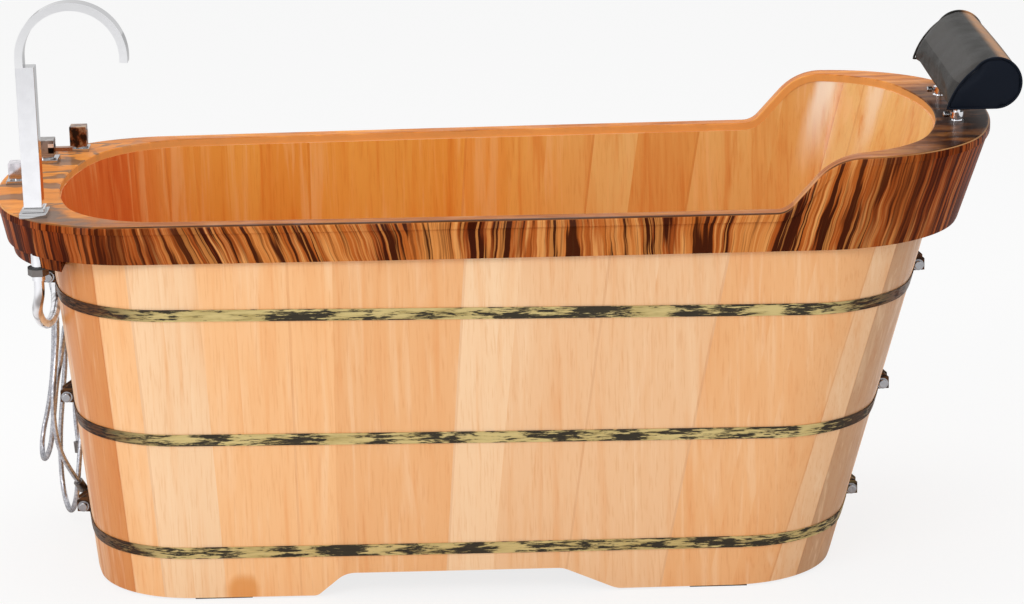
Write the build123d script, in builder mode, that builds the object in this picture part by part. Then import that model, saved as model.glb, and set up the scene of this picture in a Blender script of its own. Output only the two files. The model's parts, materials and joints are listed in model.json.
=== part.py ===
"""A freestanding wooden bathtub: staves held by metal hoops, a striped rim band, a tap set, a headrest.

Millimetres. X runs along the tub, from the foot end with the taps (-X) to the head end (+X).
Y runs from the near side (-Y) to the far side, and Z runs up from the floor.
The origin is on the floor, under the middle of the whole length.
"""
from build123d import *
import math
import os

# Rim: the plan outline that the coping follows, and its heights
rim_length = 1554
rim_half_foot = 308
rim_half_head = 330
rim_corner = 222
rim_end_radius = 560
rim_bow = 8
rim_height = 601
head_height = 682
head_rise_low_setback = 343
head_rise_high_setback = 269
head_rise_low_radius = 35
head_rise_high_radius = 92

# Opening inside the rim
side_width = 31
foot_deck_width = 99
head_deck_width = 85
opening_corner = 172
opening_end_radius = 540

# Stave body
base_foot_setback = 126
base_head_setback = 246
foot_lean = 0.0865
head_lean = 0.283
base_half_foot = 279
base_half_head = 284
base_corner = 165
base_end_radius = 640
body_corner = 185
body_bow = 5
stave_thickness = 20
stave_side_thickness = 19
side_seams = (0, 0.056, 0.112, 0.196, 0.264, 0.372, 0.464, 0.548, 0.604, 0.684, 0.76, 0.864, 0.952, 1)
corner_staves = 4
end_staves = 6
pad_height = 3

# Arch cut out of the lower edge of the front and back staves
arch_foot_margin = 365
arch_head_margin = 357
arch_height = 36
arch_foot_run = 44
arch_head_run = 82
arch_foot_radius = 16
arch_top_radius = 40

# Floor
floor_underside = 62
floor_thickness = 22
groove_depth = 6
floor_fit = 0.3
floor_board_count = 6
bearer_width = 60
bearer_height = 26
bearer_end_gap = 14
bearer_span_shares = (-0.26, 0.02, 0.3)

# Coping, rim band and tap ledge
coping_thickness = 12
coping_edge_radius = 5
coping_inner_chamfer = 1.5
band_bottom = 541
band_inset = 2
band_foot_setback = 12
band_head_setback = 47
band_side_setback = 9
glue_gap = 0.3
foot_joint_setback = 209
head_joint_setback = 211
ledge_thickness = 20
ledge_setback = 6
ledge_length = 124

# Hoops
hoop_heights = (453, 256, 76)
hoop_falls = (0.012, 0.0095, 0.0027)
hoop_names = ("top", "middle", "bottom")
hoop_width = 18
hoop_thickness = 1.6
hoop_gap = 0.4
ear_half_gap = 11
ear_thickness = 3
ear_reach = 27
ear_drop = 10
ear_rise = 27
bolt_out = 17
bolt_drop = 12
bolt_radius = 4
bolt_hole_radius = 4.3
bolt_head_radius = 7
bolt_head_height = 5
bolt_head_round = 1.8
bolt_washer_radius = 9
bolt_washer_height = 1.6
bolt_nut_flats = 13
bolt_nut_height = 6.5
bolt_end = 3

# Feet
pad_length = 88
pad_width = 16
pad_side_foot_setback = 220
pad_side_head_setback = 200
pad_foot_share = 0.33

# Waste
waste_from_base = 178
waste_flange_radius = 35
waste_flange_height = 2.5
waste_tube_radius = 22
waste_bore_radius = 18
waste_hole_clearance = 0.5
waste_seal_radius = 32
waste_seal_height = 3
waste_nut_flats = 58
waste_nut_height = 8
waste_tube_drop = 20
waste_tail_radius = 19
waste_tail_bore = 17
waste_tail_end = 16
waste_hub_radius = 8
waste_hub_height = 10
waste_rib_width = 4
plug_radius = 31
plug_height = 4
plug_edge_radius = 1.5
plug_stem_radius = 5
plug_stem_length = 20
plug_gap = 0.3
running_gap = 0.06

# Tap set: places on the foot deck, from the rim's foot end and the tub's middle line
spout_in = 84
spout_side = -222
diverter_in = 31
diverter_side = 0
mixer_in = 56
mixer_side = 145
handset_in = 101
handset_side = 222
shank_radius = 10
shank_bore = 6
shank_bottom = 500
shank_hole_clearance = 1
tap_nut_flats = 28
tap_nut_height = 11
tap_washer_radius = 16
tap_washer_height = 2
nut_gap = 0.1
moving_gap = 0.3
tap_edge_radius = 1.2

# Spout
spout_base_side = 42
spout_base_height = 8
spout_step_side = 34
spout_step_height = 6
column_side = 28
column_height = 215
spigot_radius = 9
spigot_length = 10
neck_thickness = 12
neck_radius = 78
neck_rise = 12
neck_end_angle = 6
neck_slot_width = 22
neck_slot_height = 7
neck_slot_depth = 14

# Mixer valve
mixer_plate_side = 42
mixer_plate_height = 6
mixer_drum_radius = 13
mixer_drum_height = 4
mixer_cap_side = 30
mixer_cap_height = 27
lever_slot_width = 14
lever_slot_height = 18
lever_slot_depth = 14
lever_slot_base = 5
lever_width = 12
lever_thickness = 6
lever_length = 36
lever_eye_radius = 4.5
lever_pin_radius = 2
lever_pivot_in = 7
inlet_block_side = 44
inlet_block_height = 16
inlet_block_corner = 9
link_port = (0, -13)
shower_port = (0, 14)
hot_port = (-15, 1)
cold_port = (15, 1)

# Diverter
diverter_plate_side = 36
diverter_plate_height = 6
diverter_drum_radius = 11
diverter_drum_height = 3
diverter_shank_bottom = 580
diverter_shank_radius = 8
diverter_knob_side = 28
diverter_knob_height = 24

# Hand shower
guide_plate_side = 34
guide_plate_height = 6
guide_tube_radius = 14
guide_bore_radius = 11.3
handset_stem_radius = 11
handset_head_side = 27
handset_head_height = 33
handset_seat = 2
handset_seat_radius = 12.5
handset_stem_bottom = 486
spray_face_radius = 10
spray_face_height = 1
guide_nut_flats = 34

# Headrest
headrest_overhang = 24
cushion_length = 396
cushion_round = 40
cushion_nose = 75
cushion_face_bulge = 5
cushion_base_height = 722
cushion_drawn_in = 2
cushion_seat_gap = 0.3
plate_from_back = 84
plate_width = 44
plate_length = 290
plate_thickness = 4
rod_radius = 5
rod_from_head = 60
rod_half_spacing = 95
rod_bottom = 622
rod_hole_clearance = 0.5
rod_gap = 0.3
socket_radius = 8
socket_height = 7
socket_flange_radius = 11
socket_flange_height = 3
collar_radius = 10
collar_height = 9
screw_radius = 2
screw_head_radius = 4.5
screw_head_out = 3
screw_head_length = 8
screw_tip_gap = 0.3

# Hoses: outer size, then the routes, hand-placed points from the foot end of the rim
hose_radius = 4.5
link_radius = 8
hose_nut_radius = 8
hose_nut_length = 18
hose_nut_bore = 3.5
bend_share = 0.45

cut_overrun = 60
section_shares = (0, 0.5, 1)
angle_slack = 0.01
plane_near = (0, -1, 0)

# Places worked out from the driving sizes
foot_x = -(rim_length + headrest_overhang) / 2
head_x = foot_x + rim_length
cushion_back_x = head_x + headrest_overhang
base_foot_x = foot_x + base_foot_setback
base_head_x = head_x - base_head_setback
foot_joint_x = foot_x + foot_joint_setback
head_joint_x = head_x - head_joint_setback
coping_bottom = rim_height - coping_thickness
floor_top = floor_underside + floor_thickness
ledge_bottom = band_bottom - ledge_thickness
waste_x = base_foot_x + waste_from_base
rod_x = head_x - rod_from_head
spout_place = (foot_x + spout_in, spout_side)
diverter_place = (foot_x + diverter_in, diverter_side)
mixer_place = (foot_x + mixer_in, mixer_side)
handset_place = (foot_x + handset_in, handset_side)
tap_places = (spout_place, mixer_place)
inlet_bottom = shank_bottom - inlet_block_height
rod_places = ((rod_x, -rod_half_spacing), (rod_x, rod_half_spacing))
ear_outer = ear_half_gap + ear_thickness


def reach(value, other, low, high, height):
    """The value at a height, on the line from value at low to other at high."""
    return value + (other - value) * (height - low) / (high - low)


def corner_centre(side, end, corner, toward):
    """Centre of a corner arc that touches a side disc and an end disc from inside."""
    side_reach = side[2] - corner
    end_reach = end[2] - corner
    gap_x = end[0] - side[0]
    gap_y = end[1] - side[1]
    gap = math.hypot(gap_x, gap_y)
    along = (side_reach**2 - end_reach**2 + gap**2) / (gap + gap)
    across = math.sqrt(side_reach**2 - along**2)
    places = []
    for sign in (-1, 1):
        x = side[0] + (along * gap_x - sign * across * gap_y) / gap
        y = side[1] + (along * gap_y + sign * across * gap_x) / gap
        places.append((x, y))
    return max(places, key=lambda place: place[0] * toward - place[1])


def tub_outline(start_x, end_x, half_foot, half_head, corner, end_radius, bow):
    """Eight tangent arcs, anticlockwise from the near side: centre, radius, first and last angle."""
    half_chord = math.hypot(end_x - start_x, half_head - half_foot) / 2
    side_radius = (half_chord**2 + bow**2) / (bow + bow)
    run_x = (end_x - start_x) / (half_chord + half_chord)
    run_y = (half_foot - half_head) / (half_chord + half_chord)
    inward = side_radius - bow
    side_x = (start_x + end_x) / 2 - run_y * inward
    side_y = run_x * inward - (half_foot + half_head) / 2
    side = (side_x, side_y, side_radius)
    foot_end = (start_x + end_radius, 0, end_radius)
    head_end = (end_x - end_radius, 0, end_radius)
    foot_corner = corner_centre(side, foot_end, corner, -1)
    head_corner = corner_centre(side, head_end, corner, 1)
    turn = math.pi + math.pi
    side_start = math.atan2(foot_corner[1] - side_y, foot_corner[0] - side_x)
    side_end = math.atan2(head_corner[1] - side_y, head_corner[0] - side_x)
    head_start = math.atan2(head_corner[1], head_corner[0] - head_end[0])
    foot_start = math.atan2(foot_corner[1], foot_corner[0] - foot_end[0])
    return (
        (side_x, side_y, side_radius, side_start, side_end),
        (*head_corner, corner, side_end, head_start),
        (head_end[0], 0, end_radius, head_start, -head_start),
        (head_corner[0], -head_corner[1], corner, -head_start, -side_end),
        (side_x, -side_y, side_radius, -side_end, -side_start),
        (foot_corner[0], -foot_corner[1], corner, -side_start, -foot_start),
        (foot_end[0], 0, end_radius, -foot_start, foot_start + turn),
        (*foot_corner, corner, foot_start + turn, side_start + turn),
    )


def arc_point(arc, share, grow):
    """A point at a share of an arc, moved outwards by grow."""
    centre_x, centre_y, radius, first, last = arc
    angle = first + (last - first) * share
    return (
        centre_x + (radius + grow) * math.cos(angle),
        centre_y + (radius + grow) * math.sin(angle),
    )


def wall_point(wall, index, share, height, grow=0):
    """A point of a wall: a straight line joins its lower and its upper outline."""
    low_height, low, high_height, high = wall
    low_point = arc_point(low[index], share, grow)
    high_point = arc_point(high[index], share, grow)
    return tuple(
        reach(a, b, low_height, high_height, height) for a, b in zip(low_point, high_point)
    )


def wall_loop(wall, height, grow=0):
    """The closed outline of a wall at a height."""
    with BuildLine() as loop:
        for index in range(len(wall[1])):
            points = [wall_point(wall, index, share, height, grow) for share in section_shares]
            ThreePointArc(*points)
    return loop.edges()


def wall_ring(outer, inner, low, high, outer_grow=0, inner_grow=0):
    """A closed band between two walls, from a low to a high level."""
    with BuildPart() as ring:
        for height in (low, high):
            with BuildSketch(Plane.XY.offset(height)):
                make_face(wall_loop(outer, height, outer_grow))
                make_face(wall_loop(inner, height, inner_grow), mode=Mode.SUBTRACT)
        loft(ruled=True)
    return ring.part


def wall_fill(wall, low, high, grow=0):
    """The whole space inside a wall, from a low to a high level."""
    with BuildPart() as fill:
        for height in (low, high):
            with BuildSketch(Plane.XY.offset(height)):
                make_face(wall_loop(wall, height, grow))
        loft(ruled=True)
    return fill.part


def rim_line(drop):
    """Corner points and radii of the rim's side view, drop below its top."""
    low = (head_x - head_rise_low_setback, rim_height)
    high = (head_x - head_rise_high_setback, head_height)
    slope = math.atan2(high[1] - low[1], high[0] - low[0])
    shift = drop * math.tan(slope / 2)
    points = (
        (foot_x - cut_overrun, rim_height - drop),
        (low[0] + shift, rim_height - drop),
        (high[0] + shift, head_height - drop),
        (head_x + cut_overrun, head_height - drop),
    )
    return points, (head_rise_low_radius + drop, head_rise_high_radius - drop)


def space_above_rim(drop):
    """Everything above the rim's side view, drop below its top."""
    points, radii = rim_line(drop)
    top = head_height + cut_overrun
    with BuildPart() as space:
        with BuildSketch(Plane.XZ):
            with BuildLine():
                FilletPolyline(*points, radius=radii)
                Polyline(points[-1], (points[-1][0], top), (points[0][0], top), points[0])
            make_face()
        extrude(amount=rim_half_head + cut_overrun, both=True)
    return space.part


def rim_height_at(x):
    """Height of the rim's top at a place along the tub."""
    points, radii = rim_line(0)
    low, high = points[1], points[2]
    slope = math.atan2(high[1] - low[1], high[0] - low[0])
    low_run = radii[0] * math.tan(slope / 2)
    high_run = radii[1] * math.tan(slope / 2)
    if x <= low[0] - low_run:
        return rim_height
    if x >= high[0] + high_run:
        return head_height
    if x < low[0] + low_run * math.cos(slope):
        return rim_height + radii[0] - math.sqrt(radii[0] ** 2 - (x - low[0] + low_run) ** 2)
    if x > high[0] - high_run * math.cos(slope):
        return head_height - radii[1] + math.sqrt(radii[1] ** 2 - (high[0] + high_run - x) ** 2)
    return rim_height + (x - low[0]) * math.tan(slope)


# Outlines of the walls, each with its two reference heights
body_low = tub_outline(
    base_foot_x, base_head_x, base_half_foot, base_half_head, base_corner, base_end_radius, body_bow
)
body_half_foot = reach(
    base_half_foot, rim_half_foot - side_width + stave_side_thickness, 0, rim_height, head_height
)
body_half_head = reach(
    base_half_head, rim_half_head - side_width + stave_side_thickness, 0, rim_height, head_height
)
body_high = tub_outline(
    base_foot_x - foot_lean * head_height,
    base_head_x + head_lean * head_height,
    body_half_foot,
    body_half_head,
    body_corner,
    base_end_radius,
    body_bow,
)
body_wall = (0, body_low, head_height, body_high)

inner_foot_base = base_foot_x + stave_thickness
inner_head_base = base_head_x - stave_thickness
inner_low = tub_outline(
    inner_foot_base,
    inner_head_base,
    base_half_foot - stave_thickness,
    base_half_head - stave_thickness,
    base_corner - stave_thickness,
    base_end_radius - stave_thickness,
    body_bow,
)
inner_high = tub_outline(
    reach(inner_foot_base, foot_x + foot_deck_width, 0, rim_height, head_height),
    head_x - head_deck_width,
    reach(base_half_foot - stave_thickness, rim_half_foot - side_width, 0, rim_height, head_height),
    reach(base_half_head - stave_thickness, rim_half_head - side_width, 0, rim_height, head_height),
    opening_corner,
    opening_end_radius,
    body_bow,
)
inner_wall = (0, inner_low, head_height, inner_high)

rim_arcs = tub_outline(
    foot_x, head_x, rim_half_foot, rim_half_head, rim_corner, rim_end_radius, rim_bow
)
rim_wall = (0, rim_arcs, head_height, rim_arcs)
opening_arcs = tub_outline(
    foot_x + foot_deck_width,
    head_x - head_deck_width,
    rim_half_foot - side_width,
    rim_half_head - side_width,
    opening_corner,
    opening_end_radius,
    rim_bow,
)
opening_wall = (0, opening_arcs, head_height, opening_arcs)

band_low = tub_outline(
    foot_x + band_foot_setback,
    head_x - band_head_setback,
    rim_half_foot - band_side_setback,
    rim_half_head - band_side_setback,
    rim_corner,
    rim_end_radius,
    rim_bow,
)
band_high = tub_outline(
    reach(foot_x + band_foot_setback, foot_x + band_inset, band_bottom, coping_bottom, head_height),
    reach(
        head_x - band_head_setback,
        head_x - band_inset,
        band_bottom,
        head_height - coping_thickness,
        head_height,
    ),
    reach(
        rim_half_foot - band_side_setback,
        rim_half_foot - band_inset,
        band_bottom,
        coping_bottom,
        head_height,
    ),
    reach(
        rim_half_head - band_side_setback,
        rim_half_head - band_inset,
        band_bottom,
        head_height - coping_thickness,
        head_height,
    ),
    rim_corner,
    rim_end_radius,
    rim_bow,
)
band_wall = (band_bottom, band_low, head_height, band_high)


def near_plane(x, y, z):
    """A plane that faces the near side, with X to the right and Z up."""
    return Plane(origin=(x, y, z), x_dir=(1, 0, 0), z_dir=plane_near)


def foot_wall_x(height):
    """Outer face of the foot end's staves on the middle line."""
    return base_foot_x - foot_lean * height


def head_wall_x(height):
    """Outer face of the head end's staves on the middle line."""
    return base_head_x + head_lean * height


hoop_ends = ((foot_wall_x, -1), (head_wall_x, 1))


def write_node(name, *parts):
    """Write one node, a single solid or a group of separate ones."""
    solids = [solid for part in parts for solid in part.solids()]
    node = solids[0] if len(solids) == 1 else Compound(solids)
    node.label = name
    export_step(node, f"parts/{name}.step")


def arch_space():
    """The arch under the front and the back."""
    low_x = base_foot_x + arch_foot_margin
    high_x = base_head_x - arch_head_margin
    top = pad_height + arch_height
    with BuildPart() as space:
        with BuildSketch(Plane.XZ):
            with BuildLine():
                path = FilletPolyline(
                    (low_x - cut_overrun, pad_height),
                    (low_x, pad_height),
                    (low_x + arch_foot_run, top),
                    (high_x - arch_head_run, top),
                    (high_x, pad_height),
                    (high_x + cut_overrun, pad_height),
                    radius=(arch_foot_radius, arch_top_radius, arch_top_radius, arch_top_radius),
                )
                Polyline(
                    path @ 1,
                    (high_x + cut_overrun, -pad_height),
                    (low_x - cut_overrun, -pad_height),
                    path @ 0,
                )
            make_face()
        extrude(amount=rim_half_head + cut_overrun, both=True)
    return space.part


def rod_wells():
    """Round holes that the headrest's rods run in."""
    with BuildPart() as wells:
        with BuildSketch(Plane.XY.offset(rod_bottom - rod_hole_clearance)):
            with Locations(*rod_places):
                Circle(rod_radius + rod_hole_clearance)
        extrude(amount=head_height - rod_bottom + cut_overrun)
    return wells.part


def tap_holes():
    """Round holes for the taps' shanks and the hand shower's guide, the diverter's a blind one."""
    with BuildPart() as holes:
        with BuildSketch(Plane.XY.offset(diverter_shank_bottom)):
            with Locations(diverter_place):
                Circle(diverter_shank_radius)
        extrude(amount=rim_height - diverter_shank_bottom)
        with BuildSketch(Plane.XY.offset(ledge_bottom - cut_overrun)):
            with Locations(*tap_places):
                Circle(shank_radius + shank_hole_clearance)
            with Locations(handset_place):
                Circle(guide_tube_radius + shank_hole_clearance)
        extrude(amount=rim_height - ledge_bottom + cut_overrun + cut_overrun)
    return holes.part


above_coping = space_above_rim(0)
above_band = space_above_rim(coping_thickness)
arch = arch_space()
groove = wall_fill(inner_wall, floor_underside, floor_top, groove_depth)
wells = rod_wells()
holes = tap_holes()


def stave(index, first, last):
    """One stave, between two shares of one arc of the wall."""
    middle = (first + last) / 2
    shares = (first, middle, last)
    with BuildPart() as board:
        for height in (pad_height, head_height):
            outer = [wall_point(body_wall, index, share, height) for share in shares]
            inner = [wall_point(inner_wall, index, share, height) for share in shares]
            with BuildSketch(Plane.XY.offset(height)):
                with BuildLine():
                    ThreePointArc(*outer)
                    Line(outer[2], inner[2])
                    ThreePointArc(*reversed(inner))
                    Line(inner[0], outer[0])
                make_face()
        loft(ruled=True)
        for tool in (above_band, arch, groove, wells):
            add(tool, mode=Mode.SUBTRACT)
    return board.part


def seam_shares(index):
    """Where one arc of the wall is parted into staves, as shares of its length."""
    if index == 0:
        return side_seams
    if index == 4:
        return [1 - share for share in reversed(side_seams)]
    count = end_staves if index in (2, 6) else corner_staves
    return [place / count for place in range(count + 1)]


def stave_group(indexes):
    """All the staves of some arcs of the wall."""
    boards = []
    for index in indexes:
        seams = seam_shares(index)
        boards += [stave(index, first, last) for first, last in zip(seams, seams[1:])]
    return boards


def floor_boards():
    """The floor, cut into boards that run along the tub."""
    slab = wall_fill(inner_wall, floor_underside, floor_top, groove_depth - floor_fit)
    half = max(base_half_foot, base_half_head)
    board_width = (half + half) / floor_board_count
    boards = []
    for place in range(floor_board_count):
        middle_y = board_width * place + board_width / 2 - half
        with BuildPart() as board:
            add(slab)
            with BuildSketch():
                with Locations((0, middle_y)):
                    Rectangle(rim_length, board_width)
            extrude(amount=floor_top + cut_overrun, mode=Mode.INTERSECT)
            with BuildSketch(Plane.XY.offset(floor_underside)):
                with Locations((waste_x, 0)):
                    Circle(waste_tube_radius + waste_hole_clearance)
            extrude(amount=floor_thickness, mode=Mode.SUBTRACT)
        boards.append(board.part)
    return boards


def floor_bearers():
    """Cross pieces under the floor boards."""
    base_length = base_head_x - base_foot_x
    middle = (base_head_x + base_foot_x) / 2
    half = base_half_foot - stave_thickness - bearer_end_gap
    bearers = []
    for share in bearer_span_shares:
        with BuildPart() as bearer:
            with BuildSketch(Plane.XY.offset(floor_underside - bearer_height)):
                with Locations((middle + base_length * share, 0)):
                    Rectangle(bearer_width, half + half)
            extrude(amount=bearer_height)
        bearers.append(bearer.part)
    return bearers


def foot_pads():
    """Thin pads under the staves, two on each side and one at each end."""
    foot_pad_x = base_foot_x + pad_side_foot_setback
    head_pad_x = base_head_x - pad_side_head_setback
    spread = base_half_head - base_half_foot
    half_foot = base_half_foot + spread * pad_foot_share - stave_thickness / 2
    half_head = base_half_head - stave_thickness / 2
    places = [
        (foot_pad_x, -half_foot, pad_length, pad_width),
        (foot_pad_x, half_foot, pad_length, pad_width),
        (head_pad_x, -half_head, pad_length, pad_width),
        (head_pad_x, half_head, pad_length, pad_width),
        (base_foot_x + stave_thickness / 2, 0, pad_width, pad_length),
        (base_head_x - stave_thickness / 2, 0, pad_width, pad_length),
    ]
    pads = []
    for x, y, length, width in places:
        with BuildPart() as pad:
            with BuildSketch():
                with Locations((x, y)):
                    Rectangle(length, width)
            extrude(amount=pad_height)
        pads.append(pad.part)
    return pads


def on_outline(arcs, point):
    """Whether a point lies on an outline in plan."""
    for centre_x, centre_y, radius, first, last in arcs:
        away = math.hypot(point.X - centre_x, point.Y - centre_y)
        angle = math.atan2(point.Y - centre_y, point.X - centre_x)
        turn = math.pi + math.pi
        turned = [angle + count * turn for count in (-1, 0, 1)]
        inside = any(first - angle_slack <= value <= last + angle_slack for value in turned)
        if inside and abs(away - radius) < glue_gap:
            return True
    return False


def top_edges(part, arcs):
    """Edges of a coping's top face that follow an outline."""
    chosen = ShapeList()
    for edge in part.edges():
        middle = edge @ section_shares[1]
        if on_outline(arcs, middle) and abs(middle.Z - rim_height_at(middle.X)) < glue_gap:
            chosen.append(edge)
    return chosen


def coping_ring():
    """The whole coping, before it is cut into its four pieces."""
    with BuildPart() as ring:
        with BuildSketch(Plane.XY.offset(band_bottom)):
            make_face(wall_loop(rim_wall, band_bottom))
            make_face(wall_loop(opening_wall, band_bottom), mode=Mode.SUBTRACT)
        extrude(amount=head_height - band_bottom + cut_overrun)
        add(above_coping, mode=Mode.SUBTRACT)
        add(above_band, mode=Mode.INTERSECT)
        fillet(top_edges(ring.part, rim_arcs), coping_edge_radius)
        chamfer(top_edges(ring.part, opening_arcs), coping_inner_chamfer)
    return ring.part


def part_between(part, low_x, high_x, side=0):
    """The stretch of a part between two places, on one side of the middle line or on both."""
    half = rim_half_head + cut_overrun
    height = head_height + cut_overrun
    with BuildPart() as piece:
        add(part)
        with BuildSketch():
            with Locations(((low_x + high_x) / 2, side * half / 2)):
                Rectangle(high_x - low_x, half if side else half + half)
        extrude(amount=height, mode=Mode.INTERSECT)
    return piece.part


def band_ring():
    """The rim band, solid between its outer face and the staves."""
    with BuildPart() as ring:
        add(wall_ring(band_wall, body_wall, band_bottom, head_height, 0, glue_gap))
        add(above_band, mode=Mode.SUBTRACT)
        add(holes, mode=Mode.SUBTRACT)
        add(wells, mode=Mode.SUBTRACT)
    return ring.part


def tap_ledge():
    """A board under the foot end of the band, that the taps' nuts pull against."""
    with BuildPart() as ledge:
        add(wall_fill(band_wall, ledge_bottom, band_bottom, -ledge_setback))
        with BuildSketch(Plane.XY.offset(ledge_bottom)):
            with Locations((foot_x + ledge_length / 2, 0)):
                Rectangle(ledge_length, rim_half_foot + rim_half_foot)
        extrude(amount=ledge_thickness, mode=Mode.INTERSECT)
        add(wall_fill(body_wall, ledge_bottom, band_bottom, glue_gap), mode=Mode.SUBTRACT)
        add(holes, mode=Mode.SUBTRACT)
    return ledge.part


def bolt_level(height, fall, wall_x):
    """Height of a draw bolt: under its hoop, which falls a little toward the head end."""
    return height - fall * wall_x(height) - bolt_drop


def bolt_place(height, fall, wall_x, outward):
    """Middle of a draw bolt at one end of a hoop."""
    level = bolt_level(height, fall, wall_x)
    return wall_x(level) + outward * bolt_out, level


def hoop_ear(height, wall_x, outward):
    """Side view of a hoop's ear at one end of the tub, about its bolt's height."""
    low = height - ear_drop
    top = height + ear_rise
    out = wall_x(height) + outward * ear_reach
    face = outward * hoop_gap
    return (
        (wall_x(low) + face, low),
        (out, low + hoop_thickness),
        (out, height + ear_drop),
        (wall_x(top) + face, top),
    )


def hoop_half(height, fall):
    """The near half of a hoop, with an ear at each end."""
    half_width = hoop_width / 2
    end_fall = fall * rim_length / 2
    low = height - end_fall - half_width
    high = height + end_fall + half_width
    with BuildPart() as half:
        add(wall_ring(body_wall, body_wall, low, high, hoop_gap + hoop_thickness, hoop_gap))
        with BuildSketch(near_plane(0, -ear_half_gap, 0)):
            with BuildLine():
                Polyline(
                    (-rim_length / 2, height + end_fall - half_width),
                    (rim_length / 2, height - end_fall - half_width),
                    (rim_length / 2, height - end_fall + half_width),
                    (-rim_length / 2, height + end_fall + half_width),
                    close=True,
                )
            make_face()
        extrude(amount=rim_half_head, mode=Mode.INTERSECT)
        for wall_x, outward in hoop_ends:
            with BuildSketch(near_plane(0, -ear_half_gap, 0)):
                with BuildLine():
                    Polyline(*hoop_ear(bolt_level(height, fall, wall_x), wall_x, outward), close=True)
                make_face()
                with Locations(bolt_place(height, fall, wall_x, outward)):
                    Circle(bolt_hole_radius, mode=Mode.SUBTRACT)
            extrude(amount=ear_thickness)
    return half.part


def draw_bolt(x, z):
    """A round-headed bolt with its washer, that pulls two ears together."""
    with BuildPart() as bolt:
        with BuildSketch(near_plane(x, -ear_outer, z)):
            Circle(bolt_washer_radius)
        extrude(amount=bolt_washer_height)
        with BuildSketch(near_plane(x, -ear_outer - bolt_washer_height, z)):
            Circle(bolt_head_radius)
        extrude(amount=bolt_head_height)
        fillet(bolt.faces().sort_by(Axis.Y)[0].edges(), bolt_head_round)
        with BuildSketch(near_plane(x, -ear_outer, z)):
            Circle(bolt_radius)
        extrude(amount=-(ear_outer + ear_outer + bolt_nut_height + bolt_end))
    return bolt.part


def draw_nut(x, z):
    """The nut on the far end of a draw bolt."""
    with BuildPart() as nut:
        with BuildSketch(near_plane(x, ear_outer, z)):
            RegularPolygon(bolt_nut_flats / 2, 6, major_radius=False)
            Circle(bolt_radius + nut_gap, mode=Mode.SUBTRACT)
        extrude(amount=-bolt_nut_height)
    return nut.part


def hex_nut(x, y, top, flats, height, bore):
    """A hexagon nut that hangs under a seat at height top."""
    with BuildPart() as nut:
        with BuildSketch(Plane.XY.offset(top - height)):
            with Locations((x, y)):
                RegularPolygon(flats / 2, 6, major_radius=False)
                Circle(bore, mode=Mode.SUBTRACT)
        extrude(amount=height)
    return nut.part


def round_plate(x, y, bottom, radius, height, bore=0):
    """A flat round plate, with or without a bore."""
    with BuildPart() as plate:
        with BuildSketch(Plane.XY.offset(bottom)):
            with Locations((x, y)):
                Circle(radius)
                if bore:
                    Circle(bore, mode=Mode.SUBTRACT)
        extrude(amount=height)
    return plate.part


def waste_flange():
    """The waste's flange and threaded tube, with the hub that guides the plug's stem."""
    with BuildPart() as flange:
        with BuildSketch(Plane.XY.offset(floor_top)):
            with Locations((waste_x, 0)):
                Circle(waste_flange_radius)
                Circle(waste_bore_radius, mode=Mode.SUBTRACT)
        extrude(amount=waste_flange_height)
        with BuildSketch(Plane.XY.offset(floor_underside - waste_tube_drop)):
            with Locations((waste_x, 0)):
                Circle(waste_tube_radius)
                Circle(waste_bore_radius, mode=Mode.SUBTRACT)
        extrude(amount=floor_thickness + waste_tube_drop)
        with BuildSketch(Plane.XY.offset(floor_top - waste_hub_height)):
            with Locations((waste_x, 0)):
                Rectangle(waste_bore_radius + waste_tube_radius, waste_rib_width)
                Rectangle(waste_rib_width, waste_bore_radius + waste_tube_radius)
                Circle(waste_hub_radius)
                Circle(plug_stem_radius + running_gap, mode=Mode.SUBTRACT)
        extrude(amount=waste_hub_height)
    return flange.part


def waste_tailpiece():
    """The tube that a trap is fixed to."""
    top = floor_underside - waste_tube_drop
    with BuildPart() as tail:
        with BuildSketch(Plane.XY.offset(waste_tail_end)):
            with Locations((waste_x, 0)):
                Circle(waste_tail_radius)
                Circle(waste_tail_bore, mode=Mode.SUBTRACT)
        extrude(amount=top - waste_tail_end)
    return tail.part


def waste_plug():
    """The plug, a low cap on a stem."""
    under = floor_top + waste_flange_height + plug_gap
    with BuildPart() as plug:
        with BuildSketch(Plane.XY.offset(under)):
            with Locations((waste_x, 0)):
                Circle(plug_radius)
        extrude(amount=plug_height)
        fillet(plug.faces().sort_by(Axis.Z)[-1].edges(), plug_edge_radius)
        with BuildSketch(Plane.XY.offset(under)):
            with Locations((waste_x, 0)):
                Circle(plug_stem_radius)
        extrude(amount=-plug_stem_length)
    return plug.part


def square_block(x, y, bottom, side, height, round_top=True):
    """A square block with softened upright edges."""
    with BuildPart() as block:
        with BuildSketch(Plane.XY.offset(bottom)):
            with Locations((x, y)):
                RectangleRounded(side, side, tap_edge_radius)
        extrude(amount=height)
        if round_top:
            chamfer(block.faces().sort_by(Axis.Z)[-1].edges(), tap_edge_radius / 2)
    return block.part


def shank(x, y):
    """A hollow threaded shank under a tap."""
    return round_plate(x, y, shank_bottom, shank_radius, rim_height - shank_bottom, shank_bore)


def spout_base():
    """The spout's stepped base with its shank and the bore for the column's spigot."""
    x, y = spout_place
    with BuildPart() as base:
        add(square_block(x, y, rim_height, spout_base_side, spout_base_height))
        add(square_block(x, y, rim_height + spout_base_height, spout_step_side, spout_step_height))
        with BuildSketch(Plane.XY.offset(rim_height + spout_base_height + spout_step_height)):
            with Locations((x, y)):
                Circle(spigot_radius + running_gap)
        extrude(amount=-spigot_length, mode=Mode.SUBTRACT)
        add(shank(x, y))
    return base.part


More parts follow.
